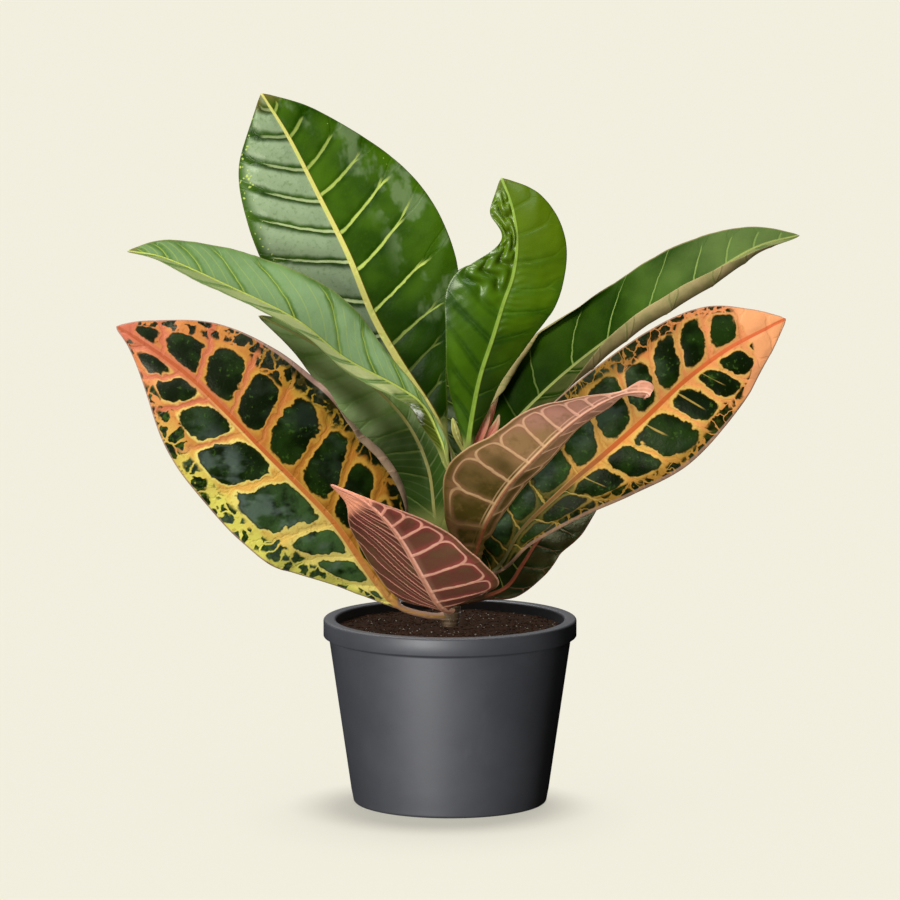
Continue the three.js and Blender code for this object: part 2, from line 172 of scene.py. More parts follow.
# A leaf leaves the stem at the height "start". Its rows are the x, y, z of the midrib and the half
# widths left and right of it, stem end first. "look" is where the upper face looks, at even steps
# from stem to tip. "fold" raises the halves, "cup" raises them further towards the margin (degrees).
# "wave" is the height, the number and the start of the waves along the margin. "veins" are the side
# veins of the left and of the right half. "quilt" is how far each half swells between them.
# "curl" rolls a stretch of margin: half, from share, to share, from share of the width, degrees.
# "pucker" gathers a stretch: half, from share, to share, from and to share of the width, height, ridges.
PLAIN_LEAF = dict(cup=(0, 0), curl=[], pucker=[])
LEAVES = dict(
    leaf_1=dict(
        start=186,
        rows=[
            (-2, 9, 212, 2, 2), (-13, 20, 233, 11, 13), (-30, 33, 258, 30, 34), (-46, 45, 285, 42, 56),
            (-61, 58, 320, 48, 60), (-79, 69, 355, 46, 51), (-97, 78, 389, 33, 27), (-113, 84, 414, 1, 1),
        ],
        look=[(0, -0.9, 0.4), (0, -0.9, 0.35), (0, -0.9, 0.4)],
        fold=(8, 8), cup=(-10, -10), wave=(2.5, 3, 0.1), quilt=(1.9, 1.0),
        veins=(
            [(0.29, 0.33), (0.37, 0.42), (0.45, 0.51), (0.53, 0.61), (0.61, 0.69), (0.672, 0.775),
             (0.735, 0.835), (0.80, 0.89), (0.875, 0.94)],
            [(0.27, 0.30), (0.345, 0.385), (0.42, 0.47), (0.505, 0.60), (0.59, 0.68), (0.665, 0.745),
             (0.745, 0.80), (0.80, 0.86), (0.87, 0.92)],
        ),
    ),
    leaf_2=dict(
        start=182,
        rows=[
            (-1, -4, 200, 2, 2), (-6, -2, 216, 6, 4), (-16, 1, 236, 20, 3.5), (-32, 2, 248, 26, 12),
            (-62, -2, 265, 26, 28), (-92, -4, 289, 32, 30), (-135, -2, 310, 22, 26), (-168, 2, 324, 10, 13),
            (-190, 4, 328, 1, 1),
        ],
        look=[(-0.1, -0.6, 0.5), (0.4, -0.5, 0.77), (0.3, -0.5, 0.8)],
        fold=(25, 25), wave=(1.5, 3, 0.2), quilt=(0.3, 0.25),
        veins=(
            even_veins(10, 0.25, 0.9, 0.06),
            [(0.25, 0.31), (0.33, 0.40), (0.41, 0.48), (0.49, 0.57), (0.565, 0.66), (0.665, 0.76),
             (0.74, 0.83), (0.81, 0.89), (0.88, 0.94)],
        ),
    ),
    leaf_3=dict(
        start=111,
        rows=[
            (-14, -8, 113, 2, 2), (-31, -15, 120, 2, 3), (-45, -22, 137, 14, 28), (-67, -34, 171, 41, 56),
            (-88, -42, 195, 47, 56), (-109, -46, 217, 46, 52), (-133, -46, 242, 42, 47),
            (-156, -42, 263, 29, 36), (-181, -36, 280, 9, 15), (-195, -32, 288, 1, 1),
        ],
        look=[(-0.1, -0.9, 0.4), (0, -1, 0.3), (0, -1, 0.3)],
        fold=(6, 6), cup=(-8, -8), wave=(2, 3, 0), quilt=(1.3, 0.7), curl=[(1, 0.26, 0.62, 0.78, 200)],
        veins=(
            [(0.28, 0.33), (0.345, 0.405), (0.405, 0.49), (0.542, 0.63), (0.643, 0.715), (0.73, 0.80),
             (0.80, 0.865), (0.88, 0.92)],
            [(0.30, 0.36), (0.365, 0.425), (0.43, 0.50), (0.522, 0.555), (0.615, 0.66), (0.684, 0.735),
             (0.769, 0.815), (0.85, 0.89)],
        ),
    ),
    leaf_4=dict(
        start=196,
        rows=[
            (11, -12, 208, 2, 2), (11, -16, 220, 4, 4), (14, -20, 240, 13, 9.5), (18, -24, 259, 21, 13.5),
            (25, -28, 281, 29, 21), (31, -30, 301, 34, 28), (37, -30, 319, 26, 30), (39, -28, 339, 9, 29),
            (36, -24, 358, 13, 20), (30, -20, 374, 1, 1),
        ],
        look=[(0.1, -0.95, 0.2), (0.15, -1, 0.1), (0.1, -0.95, 0.3)],
        fold=(5, 10), cup=(-8, -12), wave=(1.5, 3, 0), quilt=(0.3, 0.12),
        pucker=[(0, 0.56, 0.97, 0.04, 1.0, 3.2, 6), (1, 0.44, 0.8, 0.02, 0.36, 0.75, 16)],
        veins=(
            [(0.25, 0.33), (0.33, 0.42), (0.41, 0.50), (0.49, 0.58), (0.565, 0.66), (0.635, 0.72),
             (0.71, 0.77), (0.79, 0.84), (0.87, 0.91)],
            [(0.25, 0.28), (0.33, 0.37), (0.41, 0.46), (0.49, 0.55), (0.57, 0.63), (0.65, 0.70),
             (0.73, 0.77), (0.81, 0.85), (0.89, 0.92)],
        ),
    ),
    leaf_5=dict(
        start=180,
        rows=[
            (22, 8, 198, 2, 2), (32, 14, 216, 12, 9), (45, 22, 231, 31, 20), (72, 32, 255, 35, 30),
            (108, 40, 281, 30, 30), (151, 46, 307, 27, 27), (182, 50, 325, 16, 14), (208, 52, 332, 1, 1),
        ],
        look=[(-0.2, -0.5, 0.7), (-0.4, -0.5, 0.77), (-0.3, -0.5, 0.8)],
        fold=(25, 12), wave=(1.5, 3, 0), quilt=(0.6, 0.4),
        curl=[(0, 0.26, 0.5, 0.6, 190), (0, 0.38, 0.64, 0.85, 170), (1, 0.4, 0.98, 0.5, 130)],
        veins=(
            [(0.25, 0.30), (0.34, 0.40), (0.42, 0.49), (0.505, 0.59), (0.58, 0.66), (0.655, 0.73),
             (0.73, 0.80), (0.80, 0.86), (0.87, 0.91)],
            even_veins(9, 0.26, 0.88, 0.05),
        ),
    ),
    leaf_6=dict(
        start=126,
        rows=[
            (22, -14, 138, 12, 2), (31, -20, 147, 28, 5), (42, -28, 167, 31, 11), (66, -36, 192, 40, 20),
            (89, -42, 213, 43, 29), (113, -46, 235, 42, 37), (136, -46, 257, 37, 36),
            (160, -44, 275, 30, 28), (181, -40, 286, 16, 14), (196, -36, 293, 1, 1),
        ],
        look=[(0.1, -0.9, 0.4), (0, -1, 0.3), (0, -1, 0.3)],
        fold=(6, 6), cup=(-8, -8), wave=(2, 3, 0), quilt=(0.8, 0.8),
        veins=(
            [(0.30, 0.33), (0.36, 0.385), (0.44, 0.465), (0.515, 0.55), (0.585, 0.64), (0.65, 0.71),
             (0.71, 0.765), (0.77, 0.81), (0.85, 0.88)],
            [(0.33, 0.36), (0.40, 0.455), (0.488, 0.525), (0.547, 0.60), (0.643, 0.68), (0.71, 0.755),
             (0.76, 0.82), (0.84, 0.87)],
        ),
    ),
    leaf_7=dict(
        start=137,
        rows=[
            (11, -14, 146, 2, 2), (15, -20, 153, 9, 11), (21, -34, 172, 10, 26), (33, -50, 195, 14, 38),
            (48, -66, 214, 17, 30), (65, -80, 233, 15, 25), (81, -92, 247, 16, 14), (98, -102, 257, 4, 3),
            (111, -105.5, 259, 8, 8), (115, -106.5, 257, 1, 1),
        ],
        look=[(-0.2, 0.8, 0.5), (-0.3, 0.75, 0.6), (-0.3, 0.7, 0.6)],
        fold=(18, 18), wave=(1.5, 2, 0), quilt=(0.5, 0.5),
        veins=(
            [(0.25, 0.26), (0.32, 0.34), (0.39, 0.42), (0.455, 0.49), (0.52, 0.56), (0.58, 0.61),
             (0.63, 0.65), (0.69, 0.70), (0.75, 0.76)],
            [(0.22, 0.21), (0.285, 0.275), (0.355, 0.365), (0.42, 0.445), (0.49, 0.505), (0.545, 0.57),
             (0.60, 0.615), (0.665, 0.67), (0.715, 0.715), (0.77, 0.77)],
        ),
    ),
    leaf_8=dict(
        start=115,
        rows=[
            (-3, -18, 118, 3, 3), (-8, -34, 125, 38, 24), (-16, -50, 142, 38, 32), (-28, -66, 166, 24, 33),
            (-39, -78, 182, 11, 26), (-52, -86, 194, 3, 14), (-69, -90, 203, 1, 1),
        ],
        look=[(0, 0.3, 0.9), (0.2, 0.7, 0.7), (0.3, 0.8, 0.6)],
        fold=(10, 5), cup=(5, 5), wave=(1.5, 2, 0), quilt=(0.4, 0.5),
        veins=(
            [(0.29, 0.28), (0.36, 0.36), (0.435, 0.45), (0.515, 0.535), (0.585, 0.61), (0.655, 0.68),
             (0.73, 0.76), (0.80, 0.83)],
            [(0.14, 0.36), (0.20, 0.47), (0.27, 0.58), (0.34, 0.69), (0.41, 0.79), (0.49, 0.88),
             (0.58, 0.95)],
        ),
    ),
    leaf_9=dict(
        start=119,
        rows=[
            (20, 2, 122, 2, 2), (34, 6, 128, 11, 9), (44, 10, 142, 18, 15), (54, 14, 156, 22, 16),
            (71, 18, 168, 20, 14), (92, 22, 181, 1, 1),
        ],
        look=[(0.3, -0.7, 0.6), (0.3, -0.7, 0.6), (0.3, -0.7, 0.6)],
        fold=(10, 10), wave=(1, 2, 0), quilt=(0.5, 0.5),
        veins=(even_veins(5, 0.3, 0.88, 0.06), even_veins(5, 0.33, 0.9, 0.06)),
    ),
    leaf_10=dict(
        start=145,
        rows=[
            (-7, 0, 163, 13, 8), (-12, 5, 196, 25, 17), (-22, 8, 220, 29, 16), (-37, 9, 239, 31, 12),
            (-59, 8, 258, 28.5, 12), (-85, 8, 275, 14, 10), (-113, 10, 289, 1, 1),
        ],
        look=[(-0.4, -0.6, 0.6), (-0.4, -0.6, 0.7), (-0.3, -0.6, 0.7)],
        fold=(12, 12), wave=(1, 2, 0), quilt=(0.35, 0.35),
        veins=(even_veins(8, 0.27, 0.88, 0.07), even_veins(8, 0.3, 0.9, 0.07)),
    ),
    leaf_11=dict(
        start=172,
        rows=[
            (11, 14, 190, 2, 2), (11, 40, 212, 15, 15), (11, 72, 231, 23, 23), (10, 104, 244, 24, 24),
            (9, 134, 250, 15, 15), (8, 162, 250, 1, 1),
        ],
        look=[(0, -0.5, 0.8), (0, -0.3, 0.95), (0, 0, 1)],
        fold=(14, 14), cup=(-6, -6), wave=(1.5, 2, 0), quilt=(0.6, 0.6),
        veins=(even_veins(10, 0.22, 0.9, 0.06), even_veins(10, 0.24, 0.91, 0.06)),
    ),
    leaf_12=dict(
        start=134,
        rows=[
            (-12, 16, 146, 2, 2), (-36, 40, 162, 15, 15), (-62, 66, 175, 23, 23), (-90, 92, 184, 24, 24),
            (-114, 112, 186, 14, 14), (-136, 130, 184, 1, 1),
        ],
        look=[(0, -0.4, 0.9), (0.1, -0.2, 0.95), (-0.1, 0, 1)],
        fold=(14, 14), cup=(-6, -6), wave=(1.5, 2, 0.2), quilt=(0.6, 0.6),
        veins=(even_veins(9, 0.24, 0.88, 0.06), even_veins(9, 0.27, 0.9, 0.06)),
    ),
    leaf_13=dict(
        start=157,
        rows=[
            (28, 14, 166, 2, 2), (54, 38, 180, 14, 14), (82, 62, 193, 22, 22), (110, 86, 203, 23, 23),
            (134, 104, 207, 14, 14), (156, 120, 206, 1, 1),
        ],
        look=[(0, -0.4, 0.9), (-0.1, -0.2, 0.95), (0.1, 0, 1)],
        fold=(14, 14), cup=(-6, -6), wave=(1.5, 2, 0.4), quilt=(0.6, 0.6),
        veins=(even_veins(9, 0.25, 0.88, 0.06), even_veins(9, 0.22, 0.88, 0.06)),
    ),
    leaflet=dict(
        start=206,
        rows=[
            (8, -5, 212, 1.2, 1.2), (5, -8, 218, 2, 2), (3, -9.5, 224, 2.2, 2.2), (1.5, -9.5, 231, 0.8, 0.8),
        ],
        look=[(0, -1, 0.2), (0, -1, 0.3), (0, -1, 0.3)],
        fold=(15, 15), wave=(0, 1, 0), quilt=(0.05, 0.05),
        veins=(even_veins(5, 0.3, 0.85, 0.06), even_veins(5, 0.3, 0.85, 0.06)),
    ),
)

# Pointed scales beside the bud, written like leaves
PLAIN_SCALE = dict(
    start=206, fold=(20, 20), wave=(0, 1, 0), quilt=(0, 0), veins=[even_veins(3, 0.3, 0.8, 0.06)] * 2,
)
BUD_SCALES = dict(
    scale_1=dict(
        PLAIN_SCALE,
        rows=[
            (14, -7, 211, 1.5, 1.5), (17.5, -10, 221, 3.2, 3.2), (21, -12, 230, 2.6, 2.6),
            (23.5, -13, 240, 0.5, 0.5),
        ],
        look=[(0.1, -0.9, 0.3)] * 3,
    ),
    scale_2=dict(
        PLAIN_SCALE,
        rows=[
            (18, -5, 211, 1.5, 1.5), (23, -7.5, 220, 2.6, 2.6), (27, -9, 227, 2.2, 2.2),
            (29, -9.5, 233, 0.5, 0.5),
        ],
        look=[(0.3, -0.9, 0.3)] * 3,
    ),
)

SLOTS = dict(
    green_leaf=["leaf_1", "leaf_2", "leaf_4", "leaf_5", "leaf_11"],
    variegated_leaf=["leaf_3", "leaf_6", "leaf_12", "leaf_13"],
    purple_backed_leaf=["leaf_7", "leaf_8"],
    dark_leaf=["leaf_9", "leaf_10"],
    young_green_leaf=["leaflet"],
)

# In the tables of looks a triple is a screen colour in 0 to 255, and a list is a ramp: shares of the
# length, each with its colour. Halves, bands and "edge_roll" are millimetres, and "blots" is cells in a
# metre. The other numbers say where a coat begins or ends, as a share, or how strong it is.
# In the greens, the shade colour is painted shade, both towards the stem and under the side veins. The colour
# along the midrib's right side is a painted shadow, the grey-green patches are painted sheen, and the left
# and right coats on the middles of the cells are painted sheen.
GREEN = dict(
    dark=(40, 68, 4), light=(80, 112, 24), vein=(180, 198, 84), edge=(86, 104, 36), tip=(120, 104, 50),
    shade=(20, 42, 2), shade_from=0.3, shade_to=0.6, shade_share=0.0, shade_left=1.0, shade_right=1.0,
    left=(100, 128, 70), left_share=0.3, right=(96, 124, 62), right_share=0.3, far=(120, 136, 84),
    far_share=0.0, patch=(120, 140, 96), patch_share=0.0, crease_share=0.0, flecks=0.0, fine_veins=0.0,
    base_faint=0.0, vein_left=(176, 190, 96), vein_half=0.8, vein_end=0.78, vein_share=0.85,
    rib=(190, 196, 100), rib_shade=(70, 60, 10), rib_half=2.0, flank_share=0.4, stalk=(150, 156, 84),
    stalk_to=0.16, back=(96, 116, 56), back_mottle=0.5, gloss=0.3, gloss_right=0.2, relief=0.4,
    sheen=(0.9, 1, 0.6, 1),
)
GREEN_LEAVES = dict(
    leaf_1=dict(
        dark=(32, 66, 1), light=(66, 102, 10), vein=(196, 214, 104), base_faint=0.85, flecks=0.85,
        shade=(14, 38, 0), shade_from=0.32, shade_to=0.74, shade_share=0.85,
        # The pale left colour is painted sheen on this leaf's left half.
        left=(154, 174, 134), left_share=0.92, right=(74, 106, 28), patch_share=0.6, crease_share=0.6,
        vein_left=(196, 212, 150), vein_half=1.15, vein_end=0.66, rib=(222, 214, 118), rib_shade=(96, 62, 6),
        rib_half=3.0, flank_share=0.75, gloss=0.24, gloss_right=0.05, sheen=(0.95, 1, 0.85, 1),
    ),
    leaf_2=dict(
        dark=(82, 116, 46), light=(136, 170, 100), edge=(150, 146, 92), base_faint=0.5, fine_veins=0.3,
        shade=(92, 112, 8), shade_from=0.34, shade_to=0.5, shade_share=0.95, shade_right=0.3,
        left=(222, 222, 156), left_share=0.85, right=(152, 182, 134), right_share=0.7, far=(92, 124, 66),
        far_share=0.55, vein_left=(196, 200, 130), vein_half=0.7, vein_share=0.6, rib=(200, 214, 104),
        rib_half=1.4, back=(112, 118, 50), sheen=(0.9, 1, 0.8, 1),
    ),
    leaf_4=dict(
        dark=(42, 80, 1), light=(74, 114, 3), vein=(112, 148, 34), edge=(74, 96, 16), tip=(110, 116, 40),
        shade=(26, 48, 6), shade_from=0.32, shade_to=0.64, shade_share=0.85, shade_left=0.15,
        left=(84, 126, 4), left_share=0.5, right=(80, 110, 3), right_share=0.6, far=(104, 130, 8),
        far_share=0.6, vein_left=(84, 120, 22), vein_share=0.12, rib=(154, 186, 74), rib_half=1.5,
        gloss=0.75, gloss_right=0.4, relief=0.16, sheen=(0.95, 1, 0.85, 1),
    ),
    leaf_5=dict(
        dark=(34, 70, 2), light=(62, 100, 10), vein=(126, 132, 76), edge=(176, 156, 108), tip=(84, 102, 44),
        shade=(16, 38, 0), shade_from=0.4, shade_to=0.74, shade_share=0.8, left=(64, 88, 22),
        # The far share lays the grey-green far colour towards the tip: painted sheen.
        right=(150, 148, 88), right_share=0.75, far_share=0.45, base_faint=0.8, vein_left=(150, 172, 90),
        vein_half=0.7, vein_end=0.84, vein_share=0.75, rib=(156, 164, 92), rib_shade=(90, 100, 40),
        rib_half=1.6, back=(172, 156, 108), back_mottle=0.3, gloss=0.01, gloss_right=0.05,
    ),
    leaf_11=dict(),
    leaf_9=dict(
        dark=(22, 36, 8), light=(50, 58, 20), vein=(150, 96, 76), edge=(110, 50, 40), tip=(90, 50, 30),
        left=(40, 52, 18), right=(70, 44, 24), vein_half=0.6, vein_share=0.4, rib=(156, 84, 60),
        rib_shade=(60, 30, 16), rib_half=1.5, stalk=(84, 54, 34), back=(92, 56, 40), gloss=0.15,
    ),
    leaf_10=dict(
        # These greens are painted much paler than the leaf's own dark green, as painted light that makes up
        # for the shade of leaf_2 above it, with painted sheen. Its darker base is painted shade.
        dark=(154, 190, 108), light=(198, 224, 152), vein=(160, 176, 120), edge=(176, 140, 116),
        tip=(76, 90, 40), shade=(44, 76, 10), shade_from=0.32, shade_to=0.6, shade_share=0.95,
        left=(202, 222, 160), left_share=0.5, right=(104, 138, 46), fine_veins=0.12, vein_share=0.2,
        rib=(186, 178, 104), rib_half=1.2,
    ),
    leaflet=dict(
        dark=(160, 150, 72), light=(196, 188, 112), vein=(180, 196, 110), edge=(180, 176, 100),
        tip=(160, 136, 70), left=(192, 188, 110), right=(192, 188, 110), vein_half=0.3,
        rib=(204, 198, 124), rib_half=0.6, stalk_to=0.1,
    ),
)

VARIEGATED = dict(
    net=[(0.0, (150, 130, 50)), (0.3, (255, 236, 128)), (0.56, (232, 176, 82)), (0.74, (212, 134, 66)),
         (0.88, (214, 128, 76))],
    net_right=[(0.0, (120, 84, 26)), (0.4, (172, 112, 38)), (0.66, (194, 122, 48)), (0.88, (206, 128, 68))],
    net_shade=(150, 86, 22), pale_left=(246, 228, 126), pale_right=(204, 156, 64), pale_from=-0.3,
    edge_left=(228, 226, 104), edge_right=(162, 138, 46), edge=(172, 136, 122), edge_roll=2.2,
    tip=(200, 104, 78), tip_from=0.93, tip_edge=0.0, tip_glow=1.0,
    island_dark=(12, 24, 3), island_light=(28, 50, 10), island_fleck=(64, 94, 30), island_rim=(40, 32, 4),
    # The bluish bloom on the islands of the left half is painted sheen. The lighter islands low on the left
    # half are a lighter green with painted sheen.
    island_low=(84, 118, 66), low_share=0.7, island_bloom=(110, 128, 116), bloom_share=0.5, island_end=0.68,
    band_left=3.0, band_right=2.3, band_base=0.9, mottle_left=(62, 88, 20), mottle_right=(34, 30, 10),
    blots=110, blot_soft=0.09, patches=0.2, right_darker=2.2, dark_brink=0.95, brink_from=0.78,
    rib=[(0.0, (138, 108, 60)), (0.24, (214, 156, 84)), (0.4, (214, 130, 62)), (0.66, (196, 98, 46)),
         (0.9, (180, 88, 54))],
    rib_flank=(238, 200, 112), rib_half=2.2, rib_base=1.0, beside_rib=0.8, base_veins=0.0, red_veins=0.75,
    short_veins=0.0, back=(156, 130, 106), back_vein=(176, 142, 118), back_mottle=0.35, gloss=0.22,
)
VARIEGATED_LEAVES = dict(
    leaf_3=dict(),
    leaf_6=dict(
        net=[(0.0, (26, 40, 8)), (0.38, (46, 60, 16)), (0.52, (190, 134, 62)), (0.7, (214, 134, 76)),
             (0.84, (226, 142, 90))],
        net_right=[(0.0, (24, 38, 8)), (0.4, (44, 60, 16)), (0.54, (232, 158, 74)), (0.72, (238, 158, 90)),
                   (0.84, (236, 152, 96))],
        pale_left=(206, 164, 86), pale_right=(222, 184, 92), pale_from=0.36,
        edge_left=(120, 92, 30), edge_right=(164, 124, 48), edge=(168, 132, 110), edge_roll=1.2,
        tip=(244, 166, 112), tip_from=0.855, tip_edge=0.09, tip_glow=0.4, low_share=0.15, bloom_share=0.2,
        island_end=0.76, band_left=1.6, band_right=1.6, band_base=0.2, mottle_left=(50, 36, 10),
        mottle_right=(52, 52, 12), blots=135, blot_soft=0.04, patches=0.05, right_darker=0.0, dark_brink=0.0,
        rib=[(0.0, (150, 138, 96)), (0.2, (96, 94, 56)), (0.38, (120, 88, 46)), (0.58, (196, 96, 40)),
             (0.9, (224, 112, 66))],
        rib_flank=(236, 170, 106), rib_half=2.3, rib_base=0.45, beside_rib=0.0, base_veins=0.45,
        red_veins=0.0, short_veins=0.55, gloss=0.06,
    ),
    leaf_12=dict(band_left=1.6, band_right=1.4, blots=150),
    leaf_13=dict(band_left=1.6, band_right=1.4, blots=150, pale_right=(208, 170, 80)),
)

PURPLE = dict(
    body=[(0.0, (40, 34, 0)), (0.36, (70, 58, 10)), (0.5, (156, 122, 80)), (0.66, (182, 130, 112))],
    veins=[(0.24, (104, 82, 38)), (0.48, (222, 180, 134)), (0.7, (236, 180, 154))],
    near_vein=(164, 112, 84), halo=0.4, body_other=(116, 92, 48), margin=(96, 76, 26), rib=(140, 70, 44),
    tip=(218, 152, 124), tip_from=0.82, vein_half=1.15, rib_half=1.9, arch_at=0.86, arch_drop=0.2,
    double_rib=1.0, rib_flank=0.55, open_right=0.0, face=(50, 66, 20),
)
PURPLE_LEAVES = dict(
    leaf_7=dict(),
    leaf_8=dict(
        body=[(0.0, (92, 48, 38)), (0.3, (108, 64, 52)), (0.5, (108, 66, 50)), (0.66, (104, 56, 44))],
        veins=[(0.2, (224, 170, 140)), (0.5, (232, 172, 148)), (0.8, (238, 164, 140))],
        near_vein=(146, 62, 60), halo=0.65, body_other=(100, 82, 50), margin=(94, 66, 34), rib=(196, 124, 98),
        tip=(255, 172, 136), tip_from=0.75, double_rib=0.0, rib_flank=0.1, open_right=1.0,
    ),
)


def colour(red, green, blue):
    """Linear colour of a screen colour given in 0 to 255."""
    def linear(value):
        share = value / 255
        return share / 12.92 if share <= 0.04045 else ((share + 0.055) / 1.055) ** 2.4
    return (linear(red), linear(green), linear(blue), 1.0)


def look_of(table):
    """A table of looks with its colours and ramps made linear."""
    look = SimpleNamespace(**table)
    for key, value in table.items():
        if isinstance(value, list):
            setattr(look, key, [(place, colour(*tint)) for place, tint in value])
        elif isinstance(value, tuple) and len(value) == 3:
            setattr(look, key, colour(*value))
    return look


def smooth(value, low, high):
    """Rises smoothly from 0 at low to 1 at high."""
    share = np.clip((value - low) / (high - low), 0, 1)
    return share * share * (3 - 2 * share)


def through(rows, t):
    """Values of a smooth curve through the rows at the shares t of its length, column by column."""
    rows = np.asarray(rows, float)
    last = len(rows) - 1
    place = np.clip(t, 0, 1) * last
    i = np.minimum(place.astype(int), last - 1)
    s = (place - i)[:, None]
    padded = np.vstack([2 * rows[0] - rows[1], rows, 2 * rows[-1] - rows[-2]])
    a, b, c, d = (padded[i + k] for k in range(4))
    return 0.5 * (2 * b + (c - a) * s + (2 * a - 5 * b + 4 * c - d) * s**2 + (3 * b - a - 3 * c + d) * s**3)


def unit(vectors):
    return vectors / np.linalg.norm(vectors, axis=-1, keepdims=True)


def rolling(points, seed, longest):
    """Soft random field of about -1 to 1: waves of several directions, the longest in the points' unit."""
    octaves = 5
    waves = 3
    shortening = 1.7
    weakening = 0.62
    gain = 1.8
    random = np.random.default_rng(seed)
    total = np.zeros(points.shape[:-1])
    weight = 0
    for octave in range(octaves):
        for _ in range(waves):
            direction = unit(random.normal(size=3))
            turns = 2 * np.pi * shortening**octave / longest
            start = random.uniform(0, 2 * np.pi)
            total += np.sin(points @ direction * turns + start) * weakening**octave
        weight += waves * weakening**octave
    return total / weight * gain


def full_turn(sides):
    """Angles of the corners of a ring."""
    return np.linspace(0, 2 * np.pi, sides, endpoint=False)


def mesh_object(name, points, faces, readings=None):
    """Mesh object from points in millimetres, with one number per point for each named reading."""
    mesh = bpy.data.meshes.new(name)
    mesh.from_pydata((np.asarray(points) * MM).tolist(), [], faces)
    mesh.polygons.foreach_set("use_smooth", [True] * len(mesh.polygons))
    for key, values in (readings or {}).items():
        layer = mesh.attributes.new(key, "FLOAT", "POINT")
        layer.data.foreach_set("value", np.asarray(values, np.float32).ravel())
    mesh.update()
    piece = bpy.data.objects.new(name, mesh)
    bpy.context.scene.collection.objects.link(piece)
    return piece


def finish_piece(piece, material, slot, *nodes):
    """Gives a piece its material and its place among the solids."""
    piece.data.materials.append(material)
    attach(piece, "root")
    if nodes:
        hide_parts(*nodes)


def grid_faces(rows, columns, offset=0, closed=False):
    """Quads of a grid of points, row by row. A closed grid joins its last column to its first."""
    steps = columns if closed else columns - 1
    i, j = np.meshgrid(np.arange(rows - 1), np.arange(steps), indexing="ij")
    k = (j + 1) % columns
    quads = np.stack([i * columns + j, i * columns + k, (i + 1) * columns + k, (i + 1) * columns + j], -1)
    return (quads.reshape(-1, 4) + offset).tolist()


def closed_sheet(upper, lower):
    """Points and faces of the thin closed body between two grids of points."""
    rows, columns = upper.shape[:2]
    size = rows * columns
    points = np.concatenate([upper.reshape(-1, 3), lower.reshape(-1, 3)])
    faces = grid_faces(rows, columns)
    faces += [quad[::-1] for quad in grid_faces(rows, columns, size)]
    for i in range(rows - 1):
        a, b = i * columns, (i + 1) * columns
        faces.append([a, b, b + size, a + size])
        a, b = a + columns - 1, b + columns - 1
        faces.append([b, a, a + size, b + size])
    last = size - columns
    for j in range(columns - 1):
        faces.append([j + 1, j, j + size, j + 1 + size])
        faces.append([last + j, last + j + 1, last + j + 1 + size, last + j + size])
    return points, faces


def ringed_body(name, rings, foot, crown):
    """A closed body of rings of points, one above another, with a middle point at either end."""
    count, sides = rings.shape[:2]
    points = np.concatenate([[foot], rings.reshape(-1, 3), [crown]])
    faces = grid_faces(count, sides, 1, closed=True)
    end = len(points) - 1
    for k in range(sides):
        after = (k + 1) % sides
        faces.append([0, 1 + after, 1 + k])
        faces.append([end, end - sides + k, end - sides + after])
    return mesh_object(name, points, faces)


def vein_readings(pairs, t, u, speed):
    """Phase, whole at each side vein, and the gap between side veins in millimetres."""
    bend = 1.15
    gap_measured_squarely = 0.85
    bases = np.array([base for base, _ in pairs])[:, None, None]
    ends = np.array([end for _, end in pairs])[:, None, None]
    lines = bases + (ends - bases) * u[None] ** bend
    steps = lines[1:] - lines[:-1]
    inside = np.clip((t[None] - lines[:-1]) / steps, 0, 1)
    before = np.minimum((t - lines[0]) / steps[0], 0)
    after = np.maximum((t - lines[-1]) / steps[-1], 0)
    phase = inside.sum(0) + before + after
    at_vein = np.concatenate([steps[:1], (steps[1:] + steps[:-1]) / 2, steps[-1:]])
    nearest = np.clip(phase, 0, len(pairs) - 1.001)
    lower = nearest.astype(int)
    low = np.take_along_axis(at_vein, lower[None], 0)[0]
    high = np.take_along_axis(at_vein, lower[None] + 1, 0)[0]
    gap = (low + (high - low) * (nearest - lower)) * speed * gap_measured_squarely
    return phase, gap


def stem_at(height):
    """Middle and radius of the stem at a height."""
    stem = np.array(STEM)
    return [np.interp(height, stem[:, 2], stem[:, k]) for k in (0, 1, 3)]


def share_at_stem(rows):
    """Share of a leaf's length where its petiole leaves the stem's skin, less its sink."""
    probe = np.linspace(0, 0.3, 301)
    middle = through(rows, probe)
    stem_x, stem_y, stem_r = stem_at(middle[:, 2])
    off = np.hypot(middle[:, 0] - stem_x, middle[:, 1] - stem_y)
    return probe[np.argmax(off > stem_r - PETIOLE_SINK)]


